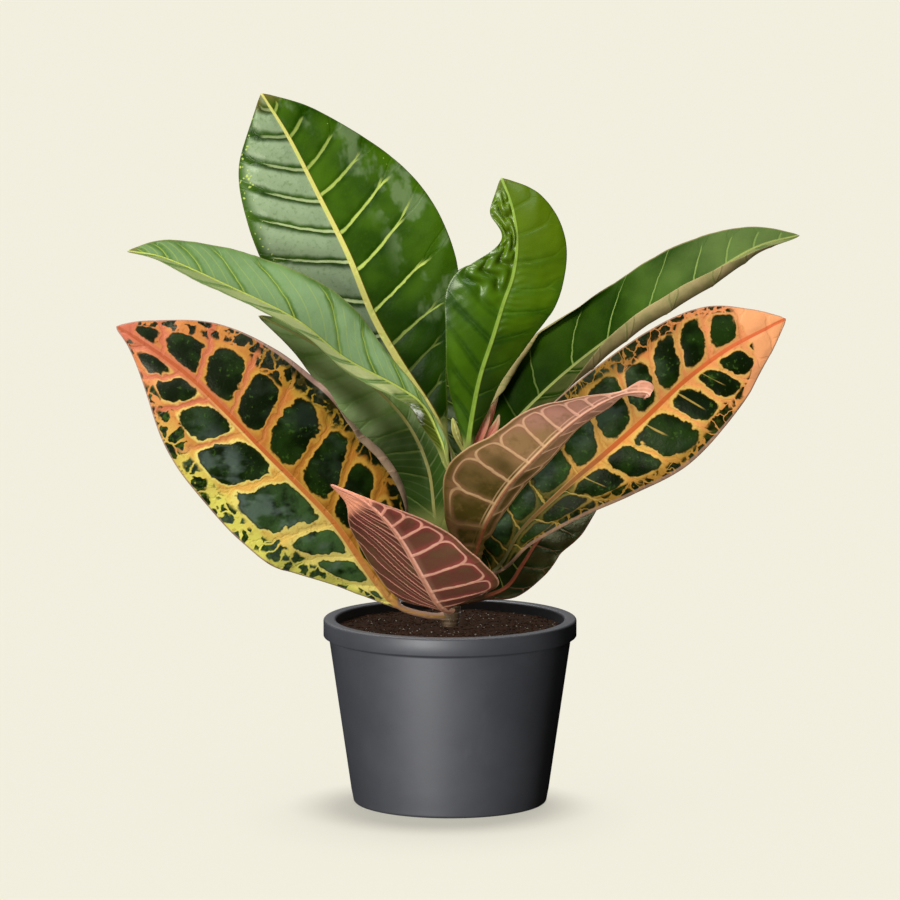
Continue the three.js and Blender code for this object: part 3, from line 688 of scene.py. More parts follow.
def leaf_course(leaf):
    """A leaf's midrib, row by row from the stem to the tip: its places, directions and thicknesses."""
    root_x, root_y, _ = stem_at(leaf["start"])
    rows = [(root_x, root_y, leaf["start"], *leaf["rows"][0][3:])] + leaf["rows"]
    begin = share_at_stem(rows)
    length = np.linalg.norm(np.diff(through(rows, np.linspace(0, 1, 200))[:, :3], axis=0), axis=1).sum()
    count = int(np.clip(length / ROW_STEP, FEWEST_ROWS, MOST_ROWS))
    t = begin + (1 - begin) * np.linspace(0, 1, count)
    row = through(rows, t)
    step = 1e-3
    travel = through(rows, t + step)[:, :3] - through(rows, t - step)[:, :3]
    speed = np.linalg.norm(travel, axis=1) / (np.clip(t + step, 0, 1) - np.clip(t - step, 0, 1))
    along = unit(travel)
    face = through(leaf["look"], t)
    face = unit(face - along * (face * along).sum(1, keepdims=True))
    swelling = ROOT_SWELLING * np.exp(-((t - begin) * speed / ROOT_SWELLING_LENGTH) ** 2)
    columns = dict(
        t=t,
        speed=speed,
        middle=row[:, :3],
        face=face,
        across=np.cross(along, face),
        blade=np.clip((row[:, 3:5].max(1) - PETIOLE_HALF) / PETIOLE_TO_BLADE, 0, 1),
        rib=RIB_HALF + (RIB_HALF_AT_TIP - RIB_HALF) * t,
        tip=np.sqrt(np.clip(1 - (np.clip(t - TIP_FROM, 0, 1) / TIP_LENGTH) ** 2, 0.02, 1)),
        swelling=1 + swelling,
    )
    course = SimpleNamespace(**{key: column[:, None] for key, column in columns.items()})
    course.halves = [row[:, 3:4], row[:, 4:5]]
    return course


def gathered(leaf, side, t, u):
    """Height of the ridges where a stretch of the blade is gathered."""
    total = np.zeros_like(u)
    for which, low, high, near, far, height, ridges in leaf["pucker"]:
        if which == side:
            stretch = smooth(t, low, low + 0.1) * (1 - smooth(t, high - 0.06, high))
            stretch = stretch * smooth(u, near, near + 0.12) * (1 - 0.8 * smooth(u, far - 0.25, far))
            ridge = ridges * (t - low) / (high - low) - 1.6 * u + 0.2 * np.sin(9 * u + 40 * t)
            total += height * stretch * (np.abs(np.sin(np.pi * ridge)) ** 0.7 - 0.5)
    return total


def rolled(leaf, side, t, u, flat, raised):
    """The blade's profile with its margin rolled over where the leaf curls."""
    turn = np.zeros_like(u)
    for which, low, high, from_u, degrees in leaf["curl"]:
        if which == side:
            bump = np.clip(1 - ((t - (low + high) / 2) / ((high - low) / 2)) ** 2, 0, 1)
            turn += np.radians(degrees) * bump * np.clip((u - from_u) / (1 - from_u), 0, 1)
    out = np.diff(flat, axis=1)
    up = np.diff(raised, axis=1)
    bend = turn[:, 1:]
    flat[:, 1:] = np.cumsum(out * np.cos(bend) - up * np.sin(bend), 1)
    raised[:, 1:] = np.cumsum(out * np.sin(bend) + up * np.cos(bend), 1) + raised[:, :1]
    return flat, raised


def half_blade(name, leaf, course, side):
    """Skins and readings of one half of a leaf, as grids from the midrib to the margin."""
    t = course.t
    half = np.maximum(np.maximum(course.halves[side], course.rib + RIB_SPARE), LEAST_HALF)
    half = half * course.tip * course.swelling
    inner = np.minimum(course.rib, half * RIB_MOST_SHARE)
    distance = np.concatenate([inner * RIB_COLUMNS, inner + (half - inner) * BLADE_COLUMNS], 1)
    u = np.clip(distance / half, 0, 1)
    phase, gap = vein_readings(leaf["veins"][side], t, u, course.speed)

    angle = np.radians(leaf["fold"][side] + leaf["cup"][side] * u)
    height, waves, start = leaf["wave"]
    fade = np.clip(half / FULL_WAVE_HALF, 0, 1)
    wave = height * fade * u**2 * np.sin(2 * np.pi * (waves * t + start + 0.25 * side))
    cells = np.abs(np.sin(np.pi * phase)) ** 0.8 - 0.5
    swell = leaf["quilt"][side] * cells * smooth(u, 0.03, 0.2) * (1 - smooth(u, 0.7, 0.98)) * course.blade
    place = course.middle + course.across * distance[..., None]
    uneven = rolling(place, 7 * len(name) + side, UNEVEN_LENGTH) * UNEVEN_HEIGHT * fade * smooth(u, 0.05, 1)
    raised = distance * np.sin(angle) + wave + swell + uneven + gathered(leaf, side, t, u)
    flat, raised = rolled(leaf, side, t, u, distance * np.cos(angle), raised)
    slope = np.arctan2(np.gradient(raised, axis=1), np.gradient(flat, axis=1))
    slope[:, 0] = 0

    out = 1 if side == 1 else -1
    surface = course.middle + course.across * (out * flat)[..., None] + course.face * raised[..., None]
    normal = course.face * np.cos(slope)[..., None] - course.across * (out * np.sin(slope))[..., None]
    from_margin = np.clip(1 - (half - distance) / MARGIN_ROUND, 0, 1)
    sheet = SHEET_HALF * np.sqrt(np.clip(1 - from_margin**2, 0.04, 1))
    rib = np.sqrt(np.clip(1 - (distance / (inner * 1.15)) ** 2, 0, 1))
    petiole = np.sqrt(np.clip(1 - u**2, 0.02, 1))
    vein = np.exp(-((np.abs(phase - np.round(phase)) * gap / 0.8) ** 2)) * (1 - smooth(u, 0.6, 0.9))

    def depth(skin):
        slim = 1 - skin.thinning * t
        stalk = (1 - course.blade) * skin.petiole * petiole * slim * course.swelling
        over_blade = sheet + skin.rib * rib * slim + skin.vein * vein * course.blade
        return (stalk + course.blade * over_blade)[..., None]

    return dict(
        upper_skin=surface + normal * depth(UPPER_SKIN), lower_skin=surface - normal * depth(LOWER_SKIN),
        across=u * out, share=np.broadcast_to(t, u.shape), vein_phase=phase + 40 * side, vein_gap=gap,
        edge_mm=half - distance, rib_mm=distance,
    )


def leaf_piece(name, leaf):
    """One leaf as a closed thin sheet with a round midrib, a petiole and swollen cells between its veins."""
    leaf = {**PLAIN_LEAF, **leaf}
    course = leaf_course(leaf)
    left, right = (half_blade(name, leaf, course, side) for side in (0, 1))
    grids = {key: np.concatenate([left[key][:, :0:-1], right[key]], 1) for key in left}
    upper = grids.pop("upper_skin")
    points, faces = closed_sheet(upper, grids.pop("lower_skin"))
    readings = {key: np.tile(grid.ravel(), 2) for key, grid in grids.items()}
    readings["upper"] = np.repeat([1.0, 0.0], upper.size // 3)
    return mesh_object(name + "_blade", points, faces, readings)


def reckoning(operation, swapped=False):
    """A way to reckon with a field and another value, which makes one math node."""
    def method(self, other):
        values = (other, self) if swapped else (self, other)
        return self.paint.math(operation, *values)
    return method


class Field:
    """One number that varies over a surface, so that formulas of materials read as formulas."""

    __add__ = reckoning("ADD")
    __radd__ = reckoning("ADD", swapped=True)
    __sub__ = reckoning("SUBTRACT")
    __rsub__ = reckoning("SUBTRACT", swapped=True)
    __mul__ = reckoning("MULTIPLY")
    __rmul__ = reckoning("MULTIPLY", swapped=True)
    __truediv__ = reckoning("DIVIDE")
    at_least = reckoning("MAXIMUM")
    at_most = reckoning("MINIMUM")
    power = reckoning("POWER")

    def __init__(self, paint, socket):
        self.paint = paint
        self.socket = socket

    def __abs__(self):
        return self.paint.math("ABSOLUTE", self)

    def floor(self):
        return self.paint.math("FLOOR", self)

    def off_whole(self):
        """Distance to the nearest whole number."""
        return self.paint.math("PINGPONG", self, 0.5)

    def rise(self, low, high):
        """Rises smoothly from 0 at low to 1 at high."""
        node = self.paint.node("ShaderNodeMapRange", interpolation_type="SMOOTHSTEP")
        for socket, given in zip(node.inputs, (self, low, high)):
            self.paint.feed(socket, given)
        return Field(self.paint, node.outputs[0])

    def fall(self, low, high):
        """Falls smoothly from 1 at low to 0 at high."""
        return 1 - self.rise(low, high)


class Coats:
    """A colour built up in coats, each laid over the last by its share."""

    def __init__(self, paint, base):
        self.paint = paint
        self.socket = base

    def lay(self, share, tint):
        self.socket = self.paint.mix(share, self.socket, tint)


class Paint:
    """Builds one node material out of fields and colours."""

    def __init__(self, name):
        self.material = bpy.data.materials.new(name)
        self.material.use_nodes = True
        self.tree = self.material.node_tree
        self.shader = self.tree.nodes["Principled BSDF"]
        self.place = self.node("ShaderNodeTexCoord").outputs["Object"]

    def node(self, kind, **settings):
        node = self.tree.nodes.new(kind)
        for key, value in settings.items():
            setattr(node, key, value)
        return node

    def feed(self, socket, value):
        """Gives a socket a field, a colour or a plain value."""
        if isinstance(value, (Field, Coats)):
            value = value.socket
        if isinstance(value, bpy.types.NodeSocket):
            self.tree.links.new(value, socket)
        else:
            socket.default_value = value

    def math(self, operation, *values):
        node = self.node("ShaderNodeMath", operation=operation)
        for socket, value in zip(node.inputs, values):
            self.feed(socket, value)
        return Field(self, node.outputs[0])

    def mix(self, share, first, second):
        node = self.node("ShaderNodeMix", data_type="RGBA", clamp_factor=True)
        self.feed(node.inputs[0], share)
        self.feed(node.inputs[6], first)
        self.feed(node.inputs[7], second)
        return node.outputs[2]

    def ramp(self, value, stops):
        """Colour that runs through the stops, given as pairs of place and colour."""
        result = Coats(self, stops[0][1])
        for (low, _), (high, tint) in zip(stops, stops[1:]):
            result.lay(value.rise(low, high), tint)
        return result

    def noise(self, scale, detail=3.0, rough=0.5, stretch=None):
        node = self.node("ShaderNodeTexNoise")
        vector = self.place
        if stretch:
            mapping = self.node("ShaderNodeMapping")
            self.feed(mapping.inputs["Vector"], vector)
            self.feed(mapping.inputs["Scale"], stretch)
            vector = mapping.outputs[0]
        self.feed(node.inputs["Vector"], vector)
        self.feed(node.inputs["Scale"], scale)
        self.feed(node.inputs["Detail"], detail)
        self.feed(node.inputs["Roughness"], rough)
        return Field(self, node.outputs["Fac"])

    def wavy(self, scale, reach):
        """Places pushed about by noise, so that cells lose their straight sides."""
        noise = self.node("ShaderNodeTexNoise")
        self.feed(noise.inputs["Vector"], self.place)
        self.feed(noise.inputs["Scale"], scale)
        push = self.node("ShaderNodeVectorMath", operation="MULTIPLY_ADD")
        self.feed(push.inputs[0], noise.outputs["Color"])
        self.feed(push.inputs[1], (reach, reach, reach))
        self.feed(push.inputs[2], self.place)
        return push.outputs[0]

    def cells(self, scale, feature="F1", place=None):
        node = self.node("ShaderNodeTexVoronoi", feature=feature)
        self.feed(node.inputs["Vector"], place or self.place)
        self.feed(node.inputs["Scale"], scale)
        return Field(self, node.outputs["Distance"])

    def random(self, value):
        node = self.node("ShaderNodeTexWhiteNoise", noise_dimensions="1D")
        self.feed(node.inputs["W"], value)
        return Field(self, node.outputs["Value"])

    def reading(self, name):
        node = self.node("ShaderNodeAttribute", attribute_name=name)
        return Field(self, node.outputs["Fac"])

    def bump(self, height, distance, strength=1.0):
        node = self.node("ShaderNodeBump")
        self.feed(node.inputs["Height"], height)
        self.feed(node.inputs["Distance"], distance)
        self.feed(node.inputs["Strength"], strength)
        self.feed(self.shader.inputs["Normal"], node.outputs[0])

    def finish(self, base, roughness, **uniform):
        self.feed(self.shader.inputs["Base Color"], base)
        self.feed(self.shader.inputs["Roughness"], roughness)
        for key, value in uniform.items():
            self.shader.inputs[key.replace("_", " ")].default_value = value
        return self.material


class LeafPaint(Paint):
    """Paint with a leaf's readings and the distances, in millimetres, that its markings are made of."""

    def __init__(self, name, wobble):
        super().__init__(name)
        self.share = self.reading("share")
        self.across = abs(self.reading("across"))
        self.phase = self.reading("vein_phase")
        self.gap = self.reading("vein_gap")
        self.edge = self.reading("edge_mm")
        self.rib = self.reading("rib_mm")
        self.upper = self.reading("upper")
        self.right = self.reading("across").rise(-0.02, 0.02)
        self.left = 1 - self.right
        self.broad = self.noise(38, 2)
        self.medium = self.noise(120, 3)
        self.small = self.noise(420, 3)
        self.drift = self.broad - 0.5
        self.shake = self.medium - 0.5
        wobbly = self.phase + (self.noise(150, 2) - 0.5) * wobble
        self.from_vein = wobbly.off_whole() * self.gap
        self.midway = (self.phase + 0.5).off_whole() * self.gap
        number = self.phase.floor()
        self.cell = self.random(number)
        self.cell_other = self.random(number + 0.37)
        self.cell_shift = self.cell - 0.5

    def by_half(self, left, right):
        """A number that has one value on the left half and another on the right."""
        return left + self.right * (right - left)

    def vein_line(self, half_width, fork=2.6, fork_at=0.62):
        """1 on the side veins, which taper and fork towards the margin, 0 off them."""
        spread = (self.across + self.cell_shift * 0.14).rise(fork_at, fork_at + 0.3) * fork
        half = half_width * (1.15 - self.across * 0.55)
        return abs(self.from_vein - spread).fall(half * 0.35, half)

    def rib_line(self, base_half, tip_half):
        """1 on the midrib, 0 off it."""
        half = base_half + (tip_half - base_half) * self.share
        return (self.rib - half).fall(-0.25, 0.3)

    def island_depth(self, band, first, last, power):
        """Depth inside the rounded island between two side veins, below 0 outside it."""
        half_along = (self.gap * 0.5 - band).at_least(0.5)
        half_across = (((self.edge + self.rib) * last - first) * 0.5).at_least(0.8)
        along = ((self.gap * 0.5 - self.from_vein) / half_along).power(power)
        across = (abs(self.rib - first - half_across) / half_across).power(power)
        outward = (along + across).power(1 / power)
        return (1 - outward) * half_along.at_most(half_across)

    def relief(self, strength=0.4):
        """Fine relief: sunken veins, a soft pebbled skin and faint wrinkles."""
        pebbles = self.cells(600, "F1", self.wavy(500, 0.001)) * 0.25
        sunken = (0 - self.vein_line(1.2)) * (self.upper * 2 - 1)
        self.bump(sunken + pebbles + self.small * 0.8 + self.medium * 1.2, 0.0004, strength)


def green_body(leaf, look):
    """Green of the upper face under its veins: lighter between them as painted sheen on the swollen cells,
    darker beside them as painted shade, darker inward as painted shade, with painted sheen patches and a
    painted shadow under each side vein.
    """
    body = Coats(leaf, look.dark)
    body.lay(leaf.broad.rise(0.35, 0.68), look.light)
    # Lighter coats on the middles of the swollen cells between the veins are painted sheen: pale sage on
    # leaf_1's left half and on leaf_2's far half. The dark coat beside the veins is painted shade.
    middle = (leaf.from_vein + leaf.shake * 3).rise(1.0, 4.0) * leaf.across.fall(0.8, 0.98)
    body.lay(middle * look.left_share * leaf.left, look.left)
    body.lay(middle * look.right_share * leaf.right, look.right)
    body.lay((1 - middle) * leaf.across.fall(0.7, 0.9) * 0.35, look.dark)
    body.lay(leaf.small.rise(0.5, 0.75) * 0.35, look.light)
    # Darker towards the stem: painted shade.
    inward = (leaf.share + leaf.drift * 0.3).fall(look.shade_from, look.shade_to)
    inward = inward * leaf.by_half(look.shade_left, look.shade_right)
    body.lay(inward * look.shade_share, look.shade)
    body.lay((leaf.share + leaf.drift * 0.2).rise(0.6, 0.85) * look.far_share, look.far)
    # Grey-green patches towards the right half's margin: painted sheen.
    patch = leaf.noise(62, 3, 0.6, stretch=(1, 1, 0.6)).rise(0.5, 0.64) * leaf.across.rise(0.3, 0.6)
    body.lay(patch * leaf.right * leaf.share.rise(0.35, 0.55) * look.patch_share, look.patch)
    # A dark band just before each side vein, on its stem side: painted shadow under the vein.
    vein_shadow = (leaf.phase - leaf.phase.floor()).rise(0.72, 0.93) * leaf.across.fall(0.6, 0.85)
    body.lay(vein_shadow * look.crease_share * (1 - leaf.right * 0.6), look.shade)
    return body


def green_face(leaf, look):
    """Upper face of a green leaf: deep and light green, thin pale forked veins, a warm tip."""
    body = green_body(leaf, look)
    third = (leaf.phase * 3).off_whole() * leaf.gap * 0.333
    body.lay(third.fall(0.15, 0.7) * leaf.across.fall(0.75, 0.95) * look.fine_veins, look.vein)

    toward_tip = leaf.share.rise(0.66, 0.92)
    ends = leaf.across + leaf.cell_shift * 0.24 + toward_tip * 0.2
    lines = leaf.vein_line(look.vein_half, leaf.right * 2.2, look.vein_end - 0.1)
    lines = lines * ends.fall(look.vein_end, look.vein_end + 0.14)
    lines = lines * (1 - toward_tip * 0.5) * (look.vein_share + leaf.shake * 0.6)
    lines = lines * (1 - leaf.share.fall(0.36, 0.54) * look.base_faint)
    body.lay(lines, leaf.mix(leaf.right, look.vein_left, look.vein))

    dots = leaf.cells(300, "F1", leaf.wavy(200, 0.003)) + leaf.noise(60, 2) * 0.5
    dots = dots - leaf.across.rise(0.6, 0.85) * 0.28 - leaf.share.rise(0.55, 0.85) * 0.08 + leaf.right * 0.14
    body.lay(dots.fall(0.02, 0.12) * look.flecks, look.vein)
    body.lay(leaf.edge.fall(0.2, 1.1) * 0.6, look.edge)
    body.lay((leaf.share + leaf.shake * 0.06).rise(0.95, 1.0) * 0.8, look.tip)
    # A dark band along the midrib's right side: painted shadow of the midrib.
    body.lay(leaf.rib_line(look.rib_half + 0.8, 0.9) * leaf.right * look.flank_share, look.rib_shade)
    rib = leaf.mix(leaf.medium.rise(0.4, 0.7) * 0.4, look.rib, look.vein)
    body.lay(leaf.rib_line(look.rib_half, 0.7), rib)
    body.lay(leaf.share.fall(look.stalk_to, look.stalk_to + 0.06), look.stalk)
    return body


def variegated_masks(leaf, look):
    """Where a variegated leaf is dark: islands between the veins, and blots along the margin."""
    masks = SimpleNamespace()
    end = look.island_end + leaf.cell_shift * 0.16
    band = leaf.by_half(look.band_left, look.band_right)
    band = band * (look.band_base + (1 - look.band_base) * leaf.share.rise(0.36, 0.6))
    band = band * (0.75 + leaf.across * 0.4) + (leaf.cell_other - 0.5) * 0.8
    depth = leaf.island_depth(band, look.rib_half + 0.7, end, 3.2)
    masks.ragged = depth + (leaf.noise(75, 2) - 0.5) * 2.6 + leaf.shake * 2.0 + (leaf.small - 0.5) * 1.0

    masks.outer = (leaf.across - end + leaf.shake * 0.2).rise(0.0, 0.06)
    masks.inner_end = leaf.share.fall(0.62, 0.8)
    wavy = leaf.wavy(170, 0.008)
    patches = (leaf.noise(95, 2) - leaf.right * masks.inner_end * look.right_darker * 0.1).rise(0.46, 0.62)
    net_half = 0.02 + patches * look.patches
    blot = (leaf.cells(look.blots, "DISTANCE_TO_EDGE", wavy) - net_half).rise(0, look.blot_soft)
    blot = blot * leaf.cells(look.blots, "F1", wavy).fall(0.6, 0.8)
    brink = (leaf.across + leaf.shake * 0.5 + leaf.drift * 0.3).rise(look.brink_from, look.brink_from + 0.06)
    blot = blot.at_least(brink * masks.inner_end * leaf.right * look.dark_brink)
    on_vein = leaf.from_vein.fall(0.5, 1.4) * leaf.across.fall(0.8, 0.92)

    solid = leaf.share + leaf.shake * 0.05 + leaf.right * leaf.across.rise(0.62, 0.95) * look.tip_edge
    masks.solid = solid.rise(look.tip_from, look.tip_from + 0.012)
    dark = masks.ragged.rise(-0.3, 0.4).at_least(blot * masks.outer * (1 - on_vein))
    masks.dark = dark * (1 - masks.solid)
    return masks


def net_colour(leaf, look, masks):
    """The warm net round the islands: pale beside them, yellow to the margin, red near the tip."""
    along = leaf.share + leaf.drift * 0.22
    net = Coats(leaf, leaf.mix(leaf.right, leaf.ramp(along, look.net), leaf.ramp(along, look.net_right)))
    before_tip = 1 - along.rise(0.7, 0.86) * look.tip_glow
    pale_share = 0.12 + 0.68 * leaf.share.rise(look.pale_from, look.pale_from + 0.2)
    pale_share = (0 - masks.ragged).fall(0.4, 2.0) * pale_share * (1 - masks.outer) * before_tip
    net.lay(pale_share, leaf.mix(leaf.right, look.pale_left, look.pale_right))
    to_edge = (leaf.across + leaf.shake * 0.3).rise(0.6, 0.85) * leaf.share.fall(0.6, 0.84)
    net.lay(to_edge * 0.85, leaf.mix(leaf.right, look.edge_left, look.edge_right))
    near_vein = (leaf.from_vein.at_most(leaf.rib - 1.5) + leaf.shake * 1.5).fall(0.8, 2.6)
    net.lay(near_vein * along.rise(0.56, 0.74) * look.red_veins, look.tip)
    net.lay(leaf.small.rise(0.52, 0.75) * 0.4, look.net_shade)
    net.lay(masks.solid * 0.9, look.tip)
    return net


def island_colour(leaf, look, masks):
    """The dark green of the islands, with flecks, a painted sheen, a lighter green low on the left half with
    painted sheen, a brown rim, and of the mottled margin.
    """
    green = Coats(leaf, look.island_dark)
    green.lay((leaf.broad + leaf.shake * 0.6).rise(0.4, 0.66), look.island_light)
    green.lay((leaf.small + leaf.shake * 0.5).rise(0.6, 0.74) * 0.6, look.island_fleck)
    # Lighter green on the islands low on the left half: partly the leaf's lighter green, partly painted
    # sheen.
    low = leaf.left * (leaf.share + leaf.drift * 0.2).fall(0.4, 0.62)
    green.lay(low * leaf.medium.rise(0.25, 0.55) * look.low_share, look.island_low)
    # Bluish-grey patches in the islands of the left half: painted sheen.
    painted_sheen = leaf.noise(70, 3, 0.6, stretch=(0.6, 1, 1)).rise(0.46, 0.62) * leaf.across.rise(0.12, 0.4)
    painted_sheen = painted_sheen * (1 - leaf.right * 0.85) * leaf.share.fall(0.6, 0.78)
    green.lay(painted_sheen * look.bloom_share, look.island_bloom)
    green.lay(abs(masks.ragged - 0.3).fall(0.1, 0.8) * 0.5, look.island_rim)
    mottle = leaf.mix(leaf.right, look.mottle_left, look.mottle_right)
    green.lay(masks.outer * 0.65, leaf.mix(leaf.small.rise(0.4, 0.65), look.island_dark, mottle))
    return green


def variegated_face(leaf, look):
    """Upper face of a variegated leaf: dark islands between the veins, a warm net, a mottled margin."""
    masks = variegated_masks(leaf, look)
    body = net_colour(leaf, look, masks)
    body.lay(masks.dark, island_colour(leaf, look, masks))

    short = (leaf.midway + leaf.shake * 1.2).fall(0.1, 0.55) * leaf.cell_other.rise(0.3, 0.35)
    short = short * (leaf.across + leaf.cell_shift * 0.2).fall(0.4, 0.56) * leaf.rib.rise(1.5, 3.0)
    short = short * (1 - masks.solid) * leaf.share.rise(0.36, 0.44)
    body.lay(short * leaf.right * look.short_veins, look.pale_right)
    body.lay(leaf.vein_line(0.6) * leaf.share.fall(0.46, 0.6) * look.base_veins, look.pale_right)

    rib_half = look.rib_half * (look.rib_base + (1 - look.rib_base) * leaf.share.rise(0.25, 0.5))
    rib = leaf.ramp(leaf.share + leaf.shake * 0.1, look.rib)
    rib.lay((leaf.rib - rib_half).rise(-1.1, -0.4) * 0.75 * leaf.share.rise(0.3, 0.5), look.rib_flank)
    beside = leaf.rib_line(rib_half + 1.5, 1.8) * leaf.left * leaf.share.rise(0.24, 0.36)
    body.lay(beside * leaf.share.fall(0.6, 0.8) * look.beside_rib, look.rib_flank)
    body.lay(leaf.rib_line(rib_half, 0.9), rib)
    edge = leaf.edge - 0.3 - leaf.right * masks.inner_end * look.edge_roll
    body.lay(edge.fall(0.2, 0.9) * 0.75, look.edge)
    return body, masks.dark


def arched_veins(leaf, look, half, open_half):
    """Side veins that arch along the margin and meet: the lines, and the distance from the arches."""
    half_gap = (leaf.gap * 0.5).at_least(0.5)
    rise = (1 - leaf.from_vein / half_gap).at_least(0.0).power(5.0)
    width = leaf.edge + leaf.rib
    slope = rise * width * look.arch_drop * 5 / half_gap
    off_arch = abs(leaf.across - look.arch_at + rise * look.arch_drop) * width / (1 + slope)
    reach = (leaf.across - look.arch_at).fall(0 - look.arch_drop, 0.03 - look.arch_drop).at_least(open_half)
    straight = leaf.from_vein.fall(half * 0.35, half) * reach
    arches = off_arch.fall(half * 0.3, half * 0.9) * (1 - open_half)
    between = leaf.midway.fall(half * 0.2, half * 0.7) * open_half * leaf.across.fall(0.5, 0.8)
    return (arches * 0.85).at_least(straight).at_least(between * 0.7), off_arch


def purple_face(leaf, look):
    """Underside of a purple-backed leaf: brown and mauve, with pale pink veins that arch along the margin."""
    along = leaf.share + leaf.drift * 0.25
    open_half = leaf.right * look.open_right
    half = look.vein_half * (1.2 - leaf.across * 0.5)
    lines, off_arch = arched_veins(leaf, look, half, open_half)
    vein = leaf.ramp(along, look.veins)

    body = leaf.ramp(along, look.body)
    nearest = (off_arch + open_half * 9).at_most(leaf.from_vein)
    body.lay((nearest + leaf.shake * 3).fall(0.6, 3.6) * look.halo, look.near_vein)
    body.lay((leaf.medium + (leaf.small - 0.5) * 0.5).rise(0.45, 0.75) * 0.5, look.body_other)
    body.lay((leaf.across - look.arch_at).rise(0.0, 0.08) * 0.6, look.margin)
    body.lay(lines * 0.9, vein)
    body.lay(leaf.edge.fall(0.3, 1.3) * 0.6, vein)
    body.lay(along.rise(look.tip_from, look.tip_from + 0.12), look.tip)
    body.lay((leaf.rib + leaf.shake * 2).fall(2.5, 5.5) * leaf.left * look.rib_flank, vein)
    beside = abs(leaf.rib - look.rib_half - 1.2).fall(0.2, 0.6)
    body.lay(beside * 0.7 * leaf.right * look.double_rib, vein)
    body.lay(leaf.rib_line(look.rib_half + 0.3, 1.0), vein)
    body.lay(leaf.rib_line(look.rib_half - 0.9, 0.2) * 0.7, look.rib)
    return body


def green_material(name, look):
    leaf = LeafPaint(name, wobble=0.08)
    top = green_face(leaf, look)
    back = Coats(leaf, look.back)
    back.lay(leaf.medium.rise(0.35, 0.7) * look.back_mottle, look.light)
    back.lay(leaf.vein_line(1.0) * 0.6, look.vein)
    back.lay(leaf.rib_line(look.rib_half, 0.6), look.rib)
    leaf.relief(look.relief)
    roughness = 0.25 + leaf.medium * 0.14 + (1 - leaf.upper) * 0.25
    leaf.feed(leaf.shader.inputs["Specular IOR Level"], leaf.by_half(look.gloss, look.gloss_right))
    return leaf.finish(leaf.mix(leaf.upper, back, top), roughness, Specular_Tint=look.sheen)


def variegated_material(name, look):
    leaf = LeafPaint(name, wobble=0.3)
    top, dark = variegated_face(leaf, look)
    back = Coats(leaf, look.back)
    back.lay(leaf.medium.rise(0.35, 0.7) * look.back_mottle, look.island_light)
    back.lay(leaf.vein_line(1.2) * 0.7, look.back_vein)
    back.lay(leaf.rib_line(2.0, 0.8), look.back_vein)
    leaf.relief()
    roughness = 0.32 + leaf.medium * 0.14 - dark * 0.06 + (1 - leaf.upper) * 0.2
    sheen = (1, 0.98, 0.8, 1)
    skin = leaf.mix(leaf.upper, back, top)
    return leaf.finish(skin, roughness, Specular_IOR_Level=look.gloss, Specular_Tint=sheen)


def purple_material(name, look):
    leaf = LeafPaint(name, wobble=0.1)
    back = purple_face(leaf, look)
    pink = look.veins[1][1]
    top = Coats(leaf, look.face)
    top.lay(leaf.vein_line(1.0) * 0.8, pink)
    top.lay(leaf.rib_line(2.0, 0.8), pink)
    leaf.relief()
    roughness = 0.5 - leaf.upper * 0.12 + leaf.medium * 0.12
    return leaf.finish(leaf.mix(leaf.upper, back, top), roughness, Specular_IOR_Level=0.3)


def pot_material():
    """Charcoal moulded plastic: satin, faintly orange-peeled, with a little dust."""
    paint = Paint("pot_plastic")
    cloudy = paint.noise(22, 4, 0.6)
    scuffs = paint.noise(90, 6, 0.7, stretch=(1, 1, 0.2)).rise(0.6, 0.78)
    body = Coats(paint, colour(49, 50, 54))
    body.lay(cloudy.rise(0.35, 0.7), colour(54, 55, 59))
    body.lay(scuffs * 0.12, colour(84, 84, 90))
    paint.bump(paint.noise(2600, 2) + paint.noise(300, 2) * 0.6, 0.00012, 0.35)
    return paint.finish(body, 0.5 + cloudy * 0.08 + scuffs * 0.1, Specular_IOR_Level=0.5)


def soil_material(name, dark, light):
    """Damp potting soil: crumbly brown with paler fibres."""
    paint = Paint(name)
    lumps = paint.noise(160, 5, 0.7)
    fine = paint.noise(1400, 3, 0.6)
    body = Coats(paint, dark)
    body.lay(lumps.rise(0.3, 0.72), light)
    body.lay(fine.rise(0.6, 0.72) * 0.4, colour(108, 74, 46))
    body.lay(paint.noise(700, 2).rise(0.68, 0.72) * 0.5, colour(134, 102, 70))
    paint.bump(lumps + fine * 0.5, 0.0005, 0.5)
    return paint.finish(body, 0.82 + fine * 0.12, Specular_IOR_Level=0.25)


def grain_material():
    """Pale mineral grains."""
    paint = Paint("pale_grains")
    fine = paint.noise(900, 3)
    paint.bump(fine, 0.0003, 0.6)
    body = paint.mix(fine, colour(206, 198, 180), colour(240, 236, 224))
    return paint.finish(body, 0.75 + fine * 0.1)


def stem_material():
    """Green young stem that turns to brown bark towards the soil, with pale corky dots."""
    paint = Paint("stem_bark")
    height = paint.node("ShaderNodeSeparateXYZ")
    paint.feed(height.inputs[0], paint.place)
    level = Field(paint, height.outputs["Z"])
    streaks = paint.noise(260, 4, 0.6, stretch=(1, 1, 0.15))
    body = Coats(paint, colour(96, 76, 54))
    body.lay((level + (streaks - 0.5) * 0.03).rise(0.12, 0.2), colour(102, 104, 58))
    body.lay(streaks.rise(0.5, 0.75) * 0.5, colour(140, 122, 92))
    corky = paint.cells(520).fall(0.12, 0.24)
    body.lay(corky * 0.7, colour(170, 150, 118))
    paint.bump(streaks + corky * 0.6, 0.0005, 0.8)
    return paint.finish(body, 0.62 + streaks * 0.15)


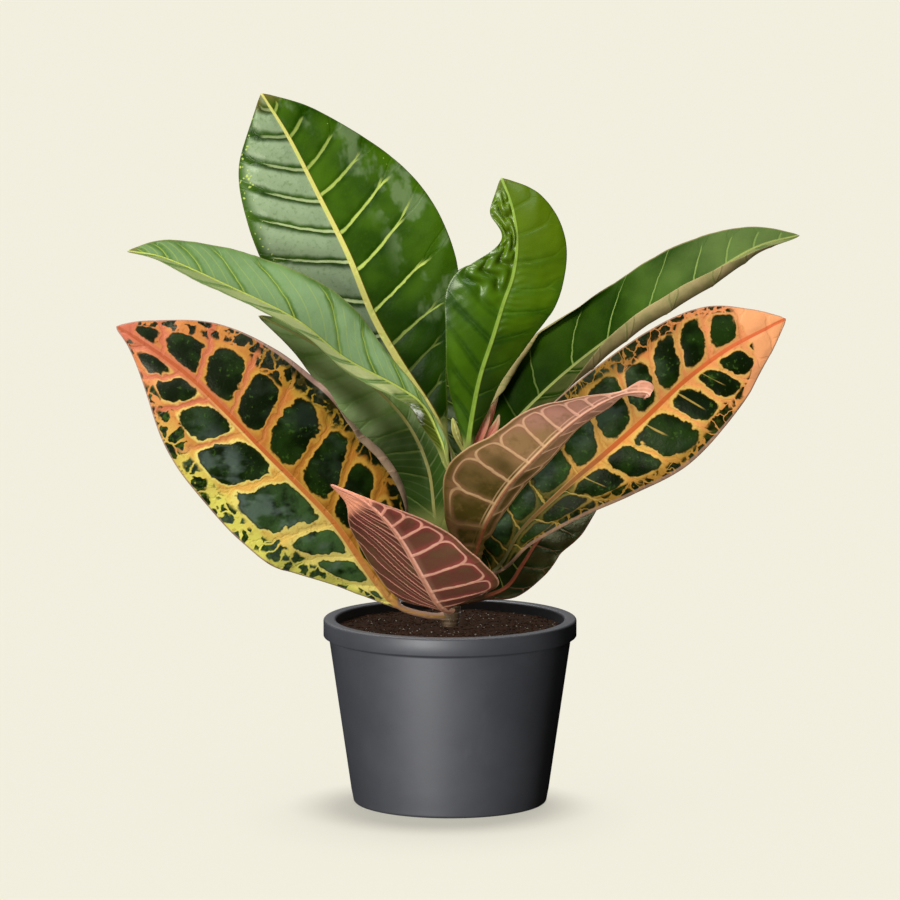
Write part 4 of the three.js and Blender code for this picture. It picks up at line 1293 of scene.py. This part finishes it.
def bud_material():
    """Furled young leaf: red and pink, tan at its tips, with fine lengthwise veins."""
    paint = Paint("young_leaf")
    streaks = paint.noise(700, 3, 0.5, stretch=(1, 1, 0.2))
    body = paint.ramp(paint.reading("share") + (streaks - 0.5) * 0.2, [
        (0.0, colour(160, 130, 80)), (0.3, colour(234, 112, 96)), (0.62, colour(244, 146, 122)),
        (0.95, colour(240, 206, 160)),
    ])
    body.lay(streaks.rise(0.5, 0.7) * 0.5, colour(232, 150, 122))
    body.lay(paint.reading("edge_mm").fall(0.1, 0.8) * 0.8, colour(228, 184, 138))
    paint.bump(streaks, 0.0003, 0.5)
    return paint.finish(body, 0.42 + streaks * 0.12, Specular_IOR_Level=0.4)


def wall_radius(z):
    """Outer radius of the pot's wall at a height."""
    return BASE_R + (WALL_OUTER_TOP_R - BASE_R) * z / BAND_FOOT


def inner_radius(z):
    """Inner radius of the pot at a height."""
    return min(wall_radius(z) - POT_WALL, RIM_INNER_R)


def rounded(centre_r, centre_z, radius, first, last, count):
    """Points of a rounded edge between two angles, in degrees."""
    turns = [math.radians(angle) for angle in np.linspace(first, last, count)]
    return [(centre_r + radius * math.cos(turn), centre_z + radius * math.sin(turn)) for turn in turns]


def pot_profile():
    """Radius and height round the pot's section, from the hollow under its base round to its floor."""
    lip = POT_HEIGHT - RIM_ROUND
    profile = [(BASE_R - 8, FOOT_HOLLOW), (BASE_R - 6.5, 1.6), (BASE_R - 5.6, 0.4), (BASE_R - 5, 0)]
    profile += rounded(BASE_R - BASE_ROUND, BASE_ROUND, BASE_ROUND, -90, 0, 8)
    profile += [(wall_radius(z), z) for z in np.linspace(8, BAND_FOOT - 1.5, 12)]
    foot_r = wall_radius(BAND_FOOT - 1)
    for share in np.linspace(0, 1, 7):
        ease = share * share * (3 - 2 * share)
        profile.append((foot_r + (RIM_OUTER_R - foot_r) * ease, BAND_FOOT - 1 + 2.0 * share))
    profile.append((RIM_OUTER_R, POT_HEIGHT - 4))
    profile += rounded(RIM_OUTER_R - RIM_ROUND, lip, RIM_ROUND, 0, 90, 7)
    profile += rounded(RIM_INNER_R + RIM_ROUND, lip, RIM_ROUND, 90, 180, 7)
    profile += [(inner_radius(z), z) for z in (BAND_FOOT, 80, 60, 40, 20, POT_FLOOR + 2)]
    profile.append((inner_radius(POT_FLOOR) - 2, POT_FLOOR))
    return profile


def pot_piece():
    """The tub with a soft-edged rim band, rounded edges and drain holes in its floor."""
    turns = full_turn(POT_SIDES)
    rings = [
        np.stack([radius * np.cos(turns), radius * np.sin(turns), np.full(POT_SIDES, height)], -1)
        for radius, height in pot_profile()
    ]
    tub = ringed_body("pot_tub", np.array(rings), (0, 0, FOOT_HOLLOW), (0, 0, POT_FLOOR))
    for k in range(DRAIN_COUNT):
        turn = 2 * math.pi * k / DRAIN_COUNT
        drill = drain_drill(DRAIN_PITCH_R * math.cos(turn), DRAIN_PITCH_R * math.sin(turn))
        cut = tub.modifiers.new("drain", "BOOLEAN")
        cut.operation = "DIFFERENCE"
        cut.solver = "EXACT"
        cut.object = drill
        bpy.context.view_layer.update()
        cut_mesh = bpy.data.meshes.new_from_object(tub.evaluated_get(bpy.context.evaluated_depsgraph_get()))
        tub.modifiers.clear()
        tub.data = cut_mesh
        bpy.data.objects.remove(drill)
    return tub


def drain_drill(x, y):
    """Round plug as wide as a drain hole, a little longer than the floor is thick."""
    sides = 32
    points = []
    for height in (-2, POT_FLOOR + 3):
        for turn in full_turn(sides):
            points.append([x + DRAIN_R * math.cos(turn), y + DRAIN_R * math.sin(turn), height])
    faces = grid_faces(2, sides, closed=True)
    faces.append(list(range(sides))[::-1])
    faces.append(list(range(sides, 2 * sides)))
    return mesh_object("drill", points, faces)


def soil_height(x, y):
    """Uneven top of the soil, a little heaped round the stem."""
    spot = np.stack([x, y, np.zeros_like(x)], -1)
    heap = 1.6 * np.exp(-((np.hypot(x, y) / 12) ** 2))
    coarse = rolling(spot, 3, 34) * 0.5
    fine = rolling(spot, 5, 7) * 0.35
    return SOIL_TOP + heap + coarse + fine


def soil_piece():
    """The root ball as one closed body with a crumbly top."""
    rings = 84
    sides = 260
    foot = POT_FLOOR + SOIL_GAP
    turns = full_turn(sides)
    radii = (inner_radius(SOIL_TOP) - SOIL_GAP) * np.linspace(1, 0.006, rings)
    x = radii[:, None] * np.cos(turns)
    y = radii[:, None] * np.sin(turns)
    z = soil_height(x, y)
    foot_r = inner_radius(foot) - SOIL_GAP
    low = np.stack([foot_r * np.cos(turns), foot_r * np.sin(turns), np.full(sides, foot)], -1)
    top = np.stack([x, y, z], -1)
    return ringed_body("soil_bed", np.concatenate([low[None], top]), (0, 0, foot), (0, 0, z[-1].mean()))


def crumbs_piece(name, count, smallest, largest, seed):
    """Loose grains that lie half sunk in the soil, as one mesh of small uneven lumps."""
    random = np.random.default_rng(seed)
    corners = unit(np.array([
        [1, 0, 0], [-1, 0, 0], [0, 1, 0], [0, -1, 0], [0, 0, 1], [0, 0, -1],
        [1, 1, 1], [-1, 1, 1], [1, -1, 1], [-1, -1, 1], [1, 1, -1], [-1, 1, -1], [1, -1, -1], [-1, -1, -1],
    ], float))
    poles = {
        0: (6, 8, 12, 10), 1: (9, 7, 11, 13), 2: (7, 6, 10, 11),
        3: (8, 9, 13, 12), 4: (6, 7, 9, 8), 5: (11, 10, 12, 13),
    }
    around = [[pole, ring[k], ring[(k + 1) % 4]] for pole, ring in poles.items() for k in range(4)]
    points = []
    faces = []
    reach = RIM_INNER_R - SOIL_GAP - largest
    for _ in range(count):
        radius = reach * math.sqrt(random.uniform(0.012, 1))
        turn = random.uniform(0, 2 * math.pi)
        x, y = radius * math.cos(turn), radius * math.sin(turn)
        size = smallest + (largest - smallest) * random.uniform(0, 1) ** 2.2
        z = float(soil_height(np.array(x), np.array(y)))
        lump = corners * size * random.uniform(0.7, 1.15, (14, 1))
        lump = lump * np.array([1, random.uniform(0.5, 1), GRAIN_FLATNESS])
        spin = random.uniform(0, 2 * math.pi)
        ahead, aside = math.cos(spin), math.sin(spin)
        turned = lump @ np.array([[ahead, aside, 0], [-aside, ahead, 0], [0, 0, 1]])
        start = len(points)
        points += (turned + [x, y, z + 0.15 * size]).tolist()
        faces += [[start + k for k in face] for face in around]
    return mesh_object(name, points, faces)


def ring_rise(off, height, spread):
    """Rise of a ring round the stem, from the distances to its middle."""
    return height * np.exp(-((off / spread) ** 2))


def stem_piece():
    """The stem with a fine skin, swollen where leaves leave it and with ring scars along it."""
    rows = 260
    sides = 40
    heights = np.linspace(SOIL_TOP - STEM_SKIN_DEPTH, STEM[-1][2], rows)
    x, y, radius = stem_at(heights)
    for leaf in LEAVES.values():
        radius = radius + ring_rise(heights - leaf["start"], *LEAF_SWELLING) * np.clip(radius / 4, 0, 1)
    for scar in LEAF_SCARS:
        radius = radius + ring_rise(heights - scar, *SCAR_RIDGE)
        radius = radius - ring_rise(heights - scar - 1, *SCAR_GROOVE)
    turns = full_turn(sides)
    level = np.repeat(heights[:, None], sides, 1)
    spot = np.stack([radius[:, None] * np.cos(turns), radius[:, None] * np.sin(turns), level], -1)
    uneven = 1 + 0.03 * rolling(spot, 11, 9)
    skin = np.stack([x[:, None] + spot[..., 0] * uneven, y[:, None] + spot[..., 1] * uneven, level], -1)
    return ringed_body("stem_bark", skin, (x[0], y[0], heights[0]), (x[-1], y[-1], heights[-1] + 0.6))


def bud_piece():
    """A young leaf still rolled up: a thin sheet wound round itself, its outer edge slanting up."""
    rows = 60
    columns = 96
    t = np.linspace(0, 1, rows)[:, None]
    x, y, z, widest = through(BUD, t[:, 0]).T[..., None]
    turns = np.linspace(0, 1, columns)
    angle = 2 * np.pi * BUD_WINDINGS * turns + BUD_TWIST * t
    outer = widest * (1 - 0.28 * turns) * (1 + 0.05 * np.cos(5 * angle))
    inner = np.maximum(outer - BUD_SHEET * np.clip(widest / 2, 0.3, 1), 0.05)
    height = z - 2.2 * turns * t**2

    def layer(radius):
        return np.stack([x + radius * np.cos(angle), y + radius * np.sin(angle), height], -1)

    points, faces = closed_sheet(layer(outer), layer(inner))
    readings = {
        "share": np.tile(np.repeat(t, columns, 1).ravel(), 2),
        "edge_mm": np.tile(turns * 30, 2 * rows),
    }
    return mesh_object("bud_leaf", points, faces, readings)


def build_leaves():
    slot_of = {name: slot for slot, names in SLOTS.items() for name in names}
    kinds = (
        (GREEN, GREEN_LEAVES, green_material),
        (VARIEGATED, VARIEGATED_LEAVES, variegated_material),
        (PURPLE, PURPLE_LEAVES, purple_material),
    )
    for name, leaf in LEAVES.items():
        piece = leaf_piece(name, leaf)
        for plain, leaves, material_of in kinds:
            if name in leaves:
                material = material_of(name + "_skin", look_of({**plain, **leaves[name]}))
        finish_piece(piece, material, slot_of[name], name)


def build_rest():
    finish_piece(pot_piece(), pot_material(), "pot_plastic", "pot")
    soil = soil_material("soil", colour(54, 33, 19), colour(76, 49, 31))
    finish_piece(soil_piece(), soil, "potting_soil", "soil")
    crumbs = soil_material("bark_bits", colour(56, 34, 20), colour(86, 56, 35))
    loose = crumbs_piece("soil_crumbs", SOIL_CRUMBS, smallest=0.35, largest=1.1, seed=21)
    finish_piece(loose, crumbs, "potting_soil")
    pale = crumbs_piece("pale_grains", SOIL_PALE_GRAINS, smallest=0.3, largest=0.7, seed=22)
    finish_piece(pale, grain_material(), "potting_soil")
    finish_piece(stem_piece(), stem_material(), "stem_bark", "stem")
    young = bud_material()
    finish_piece(bud_piece(), young, "young_leaf", "bud")
    for name, scale in BUD_SCALES.items():
        finish_piece(leaf_piece(name, scale), young, "young_leaf")


def stage():
    """Pale round floor that rises into a low wall far off, partly lit from within so that it stays even."""
    turns = full_turn(FLOOR_SIDES)
    points = [[0, 0, 0]]
    for radius, height in ((FLOOR_REACH * 0.8, 0), (FLOOR_REACH * 0.95, 300), (FLOOR_REACH, 3000)):
        points += [[radius * math.cos(turn), radius * math.sin(turn), height] for turn in turns]
    faces = [[0, 1 + k, 1 + (k + 1) % FLOOR_SIDES] for k in range(FLOOR_SIDES)]
    faces += grid_faces(3, FLOOR_SIDES, 1, closed=True)
    floor = mesh_object("floor", points, faces)
    floor.data.polygons.foreach_set("use_smooth", [False] * len(floor.data.polygons))
    paint = Paint("floor")
    paint.shader.inputs["Emission Color"].default_value = colour(244, 241, 226)
    shade = paint.finish(colour(174, 171, 160), 0.9, Emission_Strength=FLOOR_GLOW, Specular_IOR_Level=0.0)
    floor.data.materials.append(shade)
    floor.visible_diffuse = False
    floor.visible_glossy = False


def aim(thing, place, target):
    thing.location = place
    thing.rotation_euler = (Vector(target) - Vector(place)).to_track_quat("-Z", "Y").to_euler()


def place_light(data, place, target, lit, shades=()):
    """Puts a light in the scene. It lights only the pieces "lit", and only "shades" block it, if given."""
    lamp = bpy.data.objects.new(data.name, data)
    bpy.context.scene.collection.objects.link(lamp)
    aim(lamp, place, target)
    lamp.light_linking.receiver_collection = group_of(data.name + "_lit", lit)
    if shades:
        lamp.light_linking.blocker_collection = group_of(data.name + "_shade", shades)


def group_of(name, pieces):
    group = bpy.data.collections.new(name)
    for piece in pieces:
        group.objects.link(piece)
    return group


def area_light(name, place, target, size, watts, tint, lit):
    """A soft box at a place in metres."""
    data = bpy.data.lights.new(name, "AREA")
    data.shape = "RECTANGLE"
    data.size, data.size_y = size
    data.energy = watts
    data.color = tint
    place_light(data, place, target, lit)


def sun(name, direction, strength, spread, lit, shades=()):
    """Broad light from far away, on the side that the direction points to."""
    data = bpy.data.lights.new(name, "SUN")
    data.energy = strength
    data.angle = math.radians(spread)
    place_light(data, direction, (0, 0, 0), lit, shades)


def lights():
    """Plant, pot, soil and floor have lights of their own, as each is lit differently in the photo."""
    pieces = bpy.data.objects
    tub = [pieces["pot_tub"]]
    floor = [pieces["floor"]]
    soil = [pieces[name] for name in ("soil_bed", "soil_crumbs", "pale_grains")]
    plant = [piece for piece in pieces if piece.name.endswith("_blade")]
    plant += [pieces[name] for name in ("bud_leaf", "stem_bark")]
    pink_ones = ("leaf_7_blade", "leaf_8_blade", "bud_leaf", "scale_1_blade", "scale_2_blade")
    undersides = [pieces[name] for name in pink_ones]
    sun("floor_key", (0.06, 0.25, 1.5), 1.8, 20, floor, tub)
    sun("floor_soft", (0.08, 0.7, 1.5), 1.2, 44, floor, tub)
    sun("tub_top", (-0.35, 0.6, 1.5), 4.6, 40, tub, tub)
    sun("tub_front", (-0.3, -0.9, 1), 0.5, 110, tub, tub)
    sun("soil_top", (-0.35, 0.3, 1.5), 1.35, 90, soil, tub)
    sun("key", (-0.75, -0.85, 1.5), 2.2, 26, plant)
    sun("overhead", (-0.35, 0.45, 1.6), 1.0, 30, plant)
    leaves = (0, 0, 0.25)
    area_light("pot_strip", (-0.42, -0.97, 0.05), (0, 0, 0.05), (0.18, 0.1), 18, (1, 1, 1), tub)
    area_light("front_fill", (-1.2, -1.95, 0.3), leaves, (1.0, 0.8), 34, (1, 0.99, 0.94), plant)
    area_light("under_fill", (0.35, -0.75, 0.03), (0.04, -0.07, 0.2), (0.4, 0.3), 4.4, (1, 0.96, 0.9),
               undersides)
    area_light("back_fill", (0.9, 2.0, 0.45), leaves, (1.0, 0.8), 20, (1, 0.99, 0.95), plant)
    area_light("leaf_sheen", (0.42, -1.5, 1.55), (0, 0, 0.3), (0.5, 0.5), 4, (0.9, 0.97, 1), plant)


def world_and_camera():
    world = bpy.data.worlds.new("studio")
    world.use_nodes = True
    background = world.node_tree.nodes["Background"].inputs
    background["Color"].default_value = colour(244, 241, 228)
    background["Strength"].default_value = 0.14
    world.cycles_visibility.glossy = False
    bpy.context.scene.world = world
    data = bpy.data.cameras.new("camera")
    data.lens = CAMERA_LENS
    data.sensor_width = CAMERA_SENSOR
    data.clip_end = 60
    camera = bpy.data.objects.new("camera", data)
    bpy.context.scene.collection.objects.link(camera)
    aim(camera, CAMERA_PLACE, CAMERA_TARGET)
    bpy.context.scene.camera = camera
    bpy.context.scene.view_settings.view_transform = "Standard"


build_leaves()
build_rest()
stage()
lights()
world_and_camera()
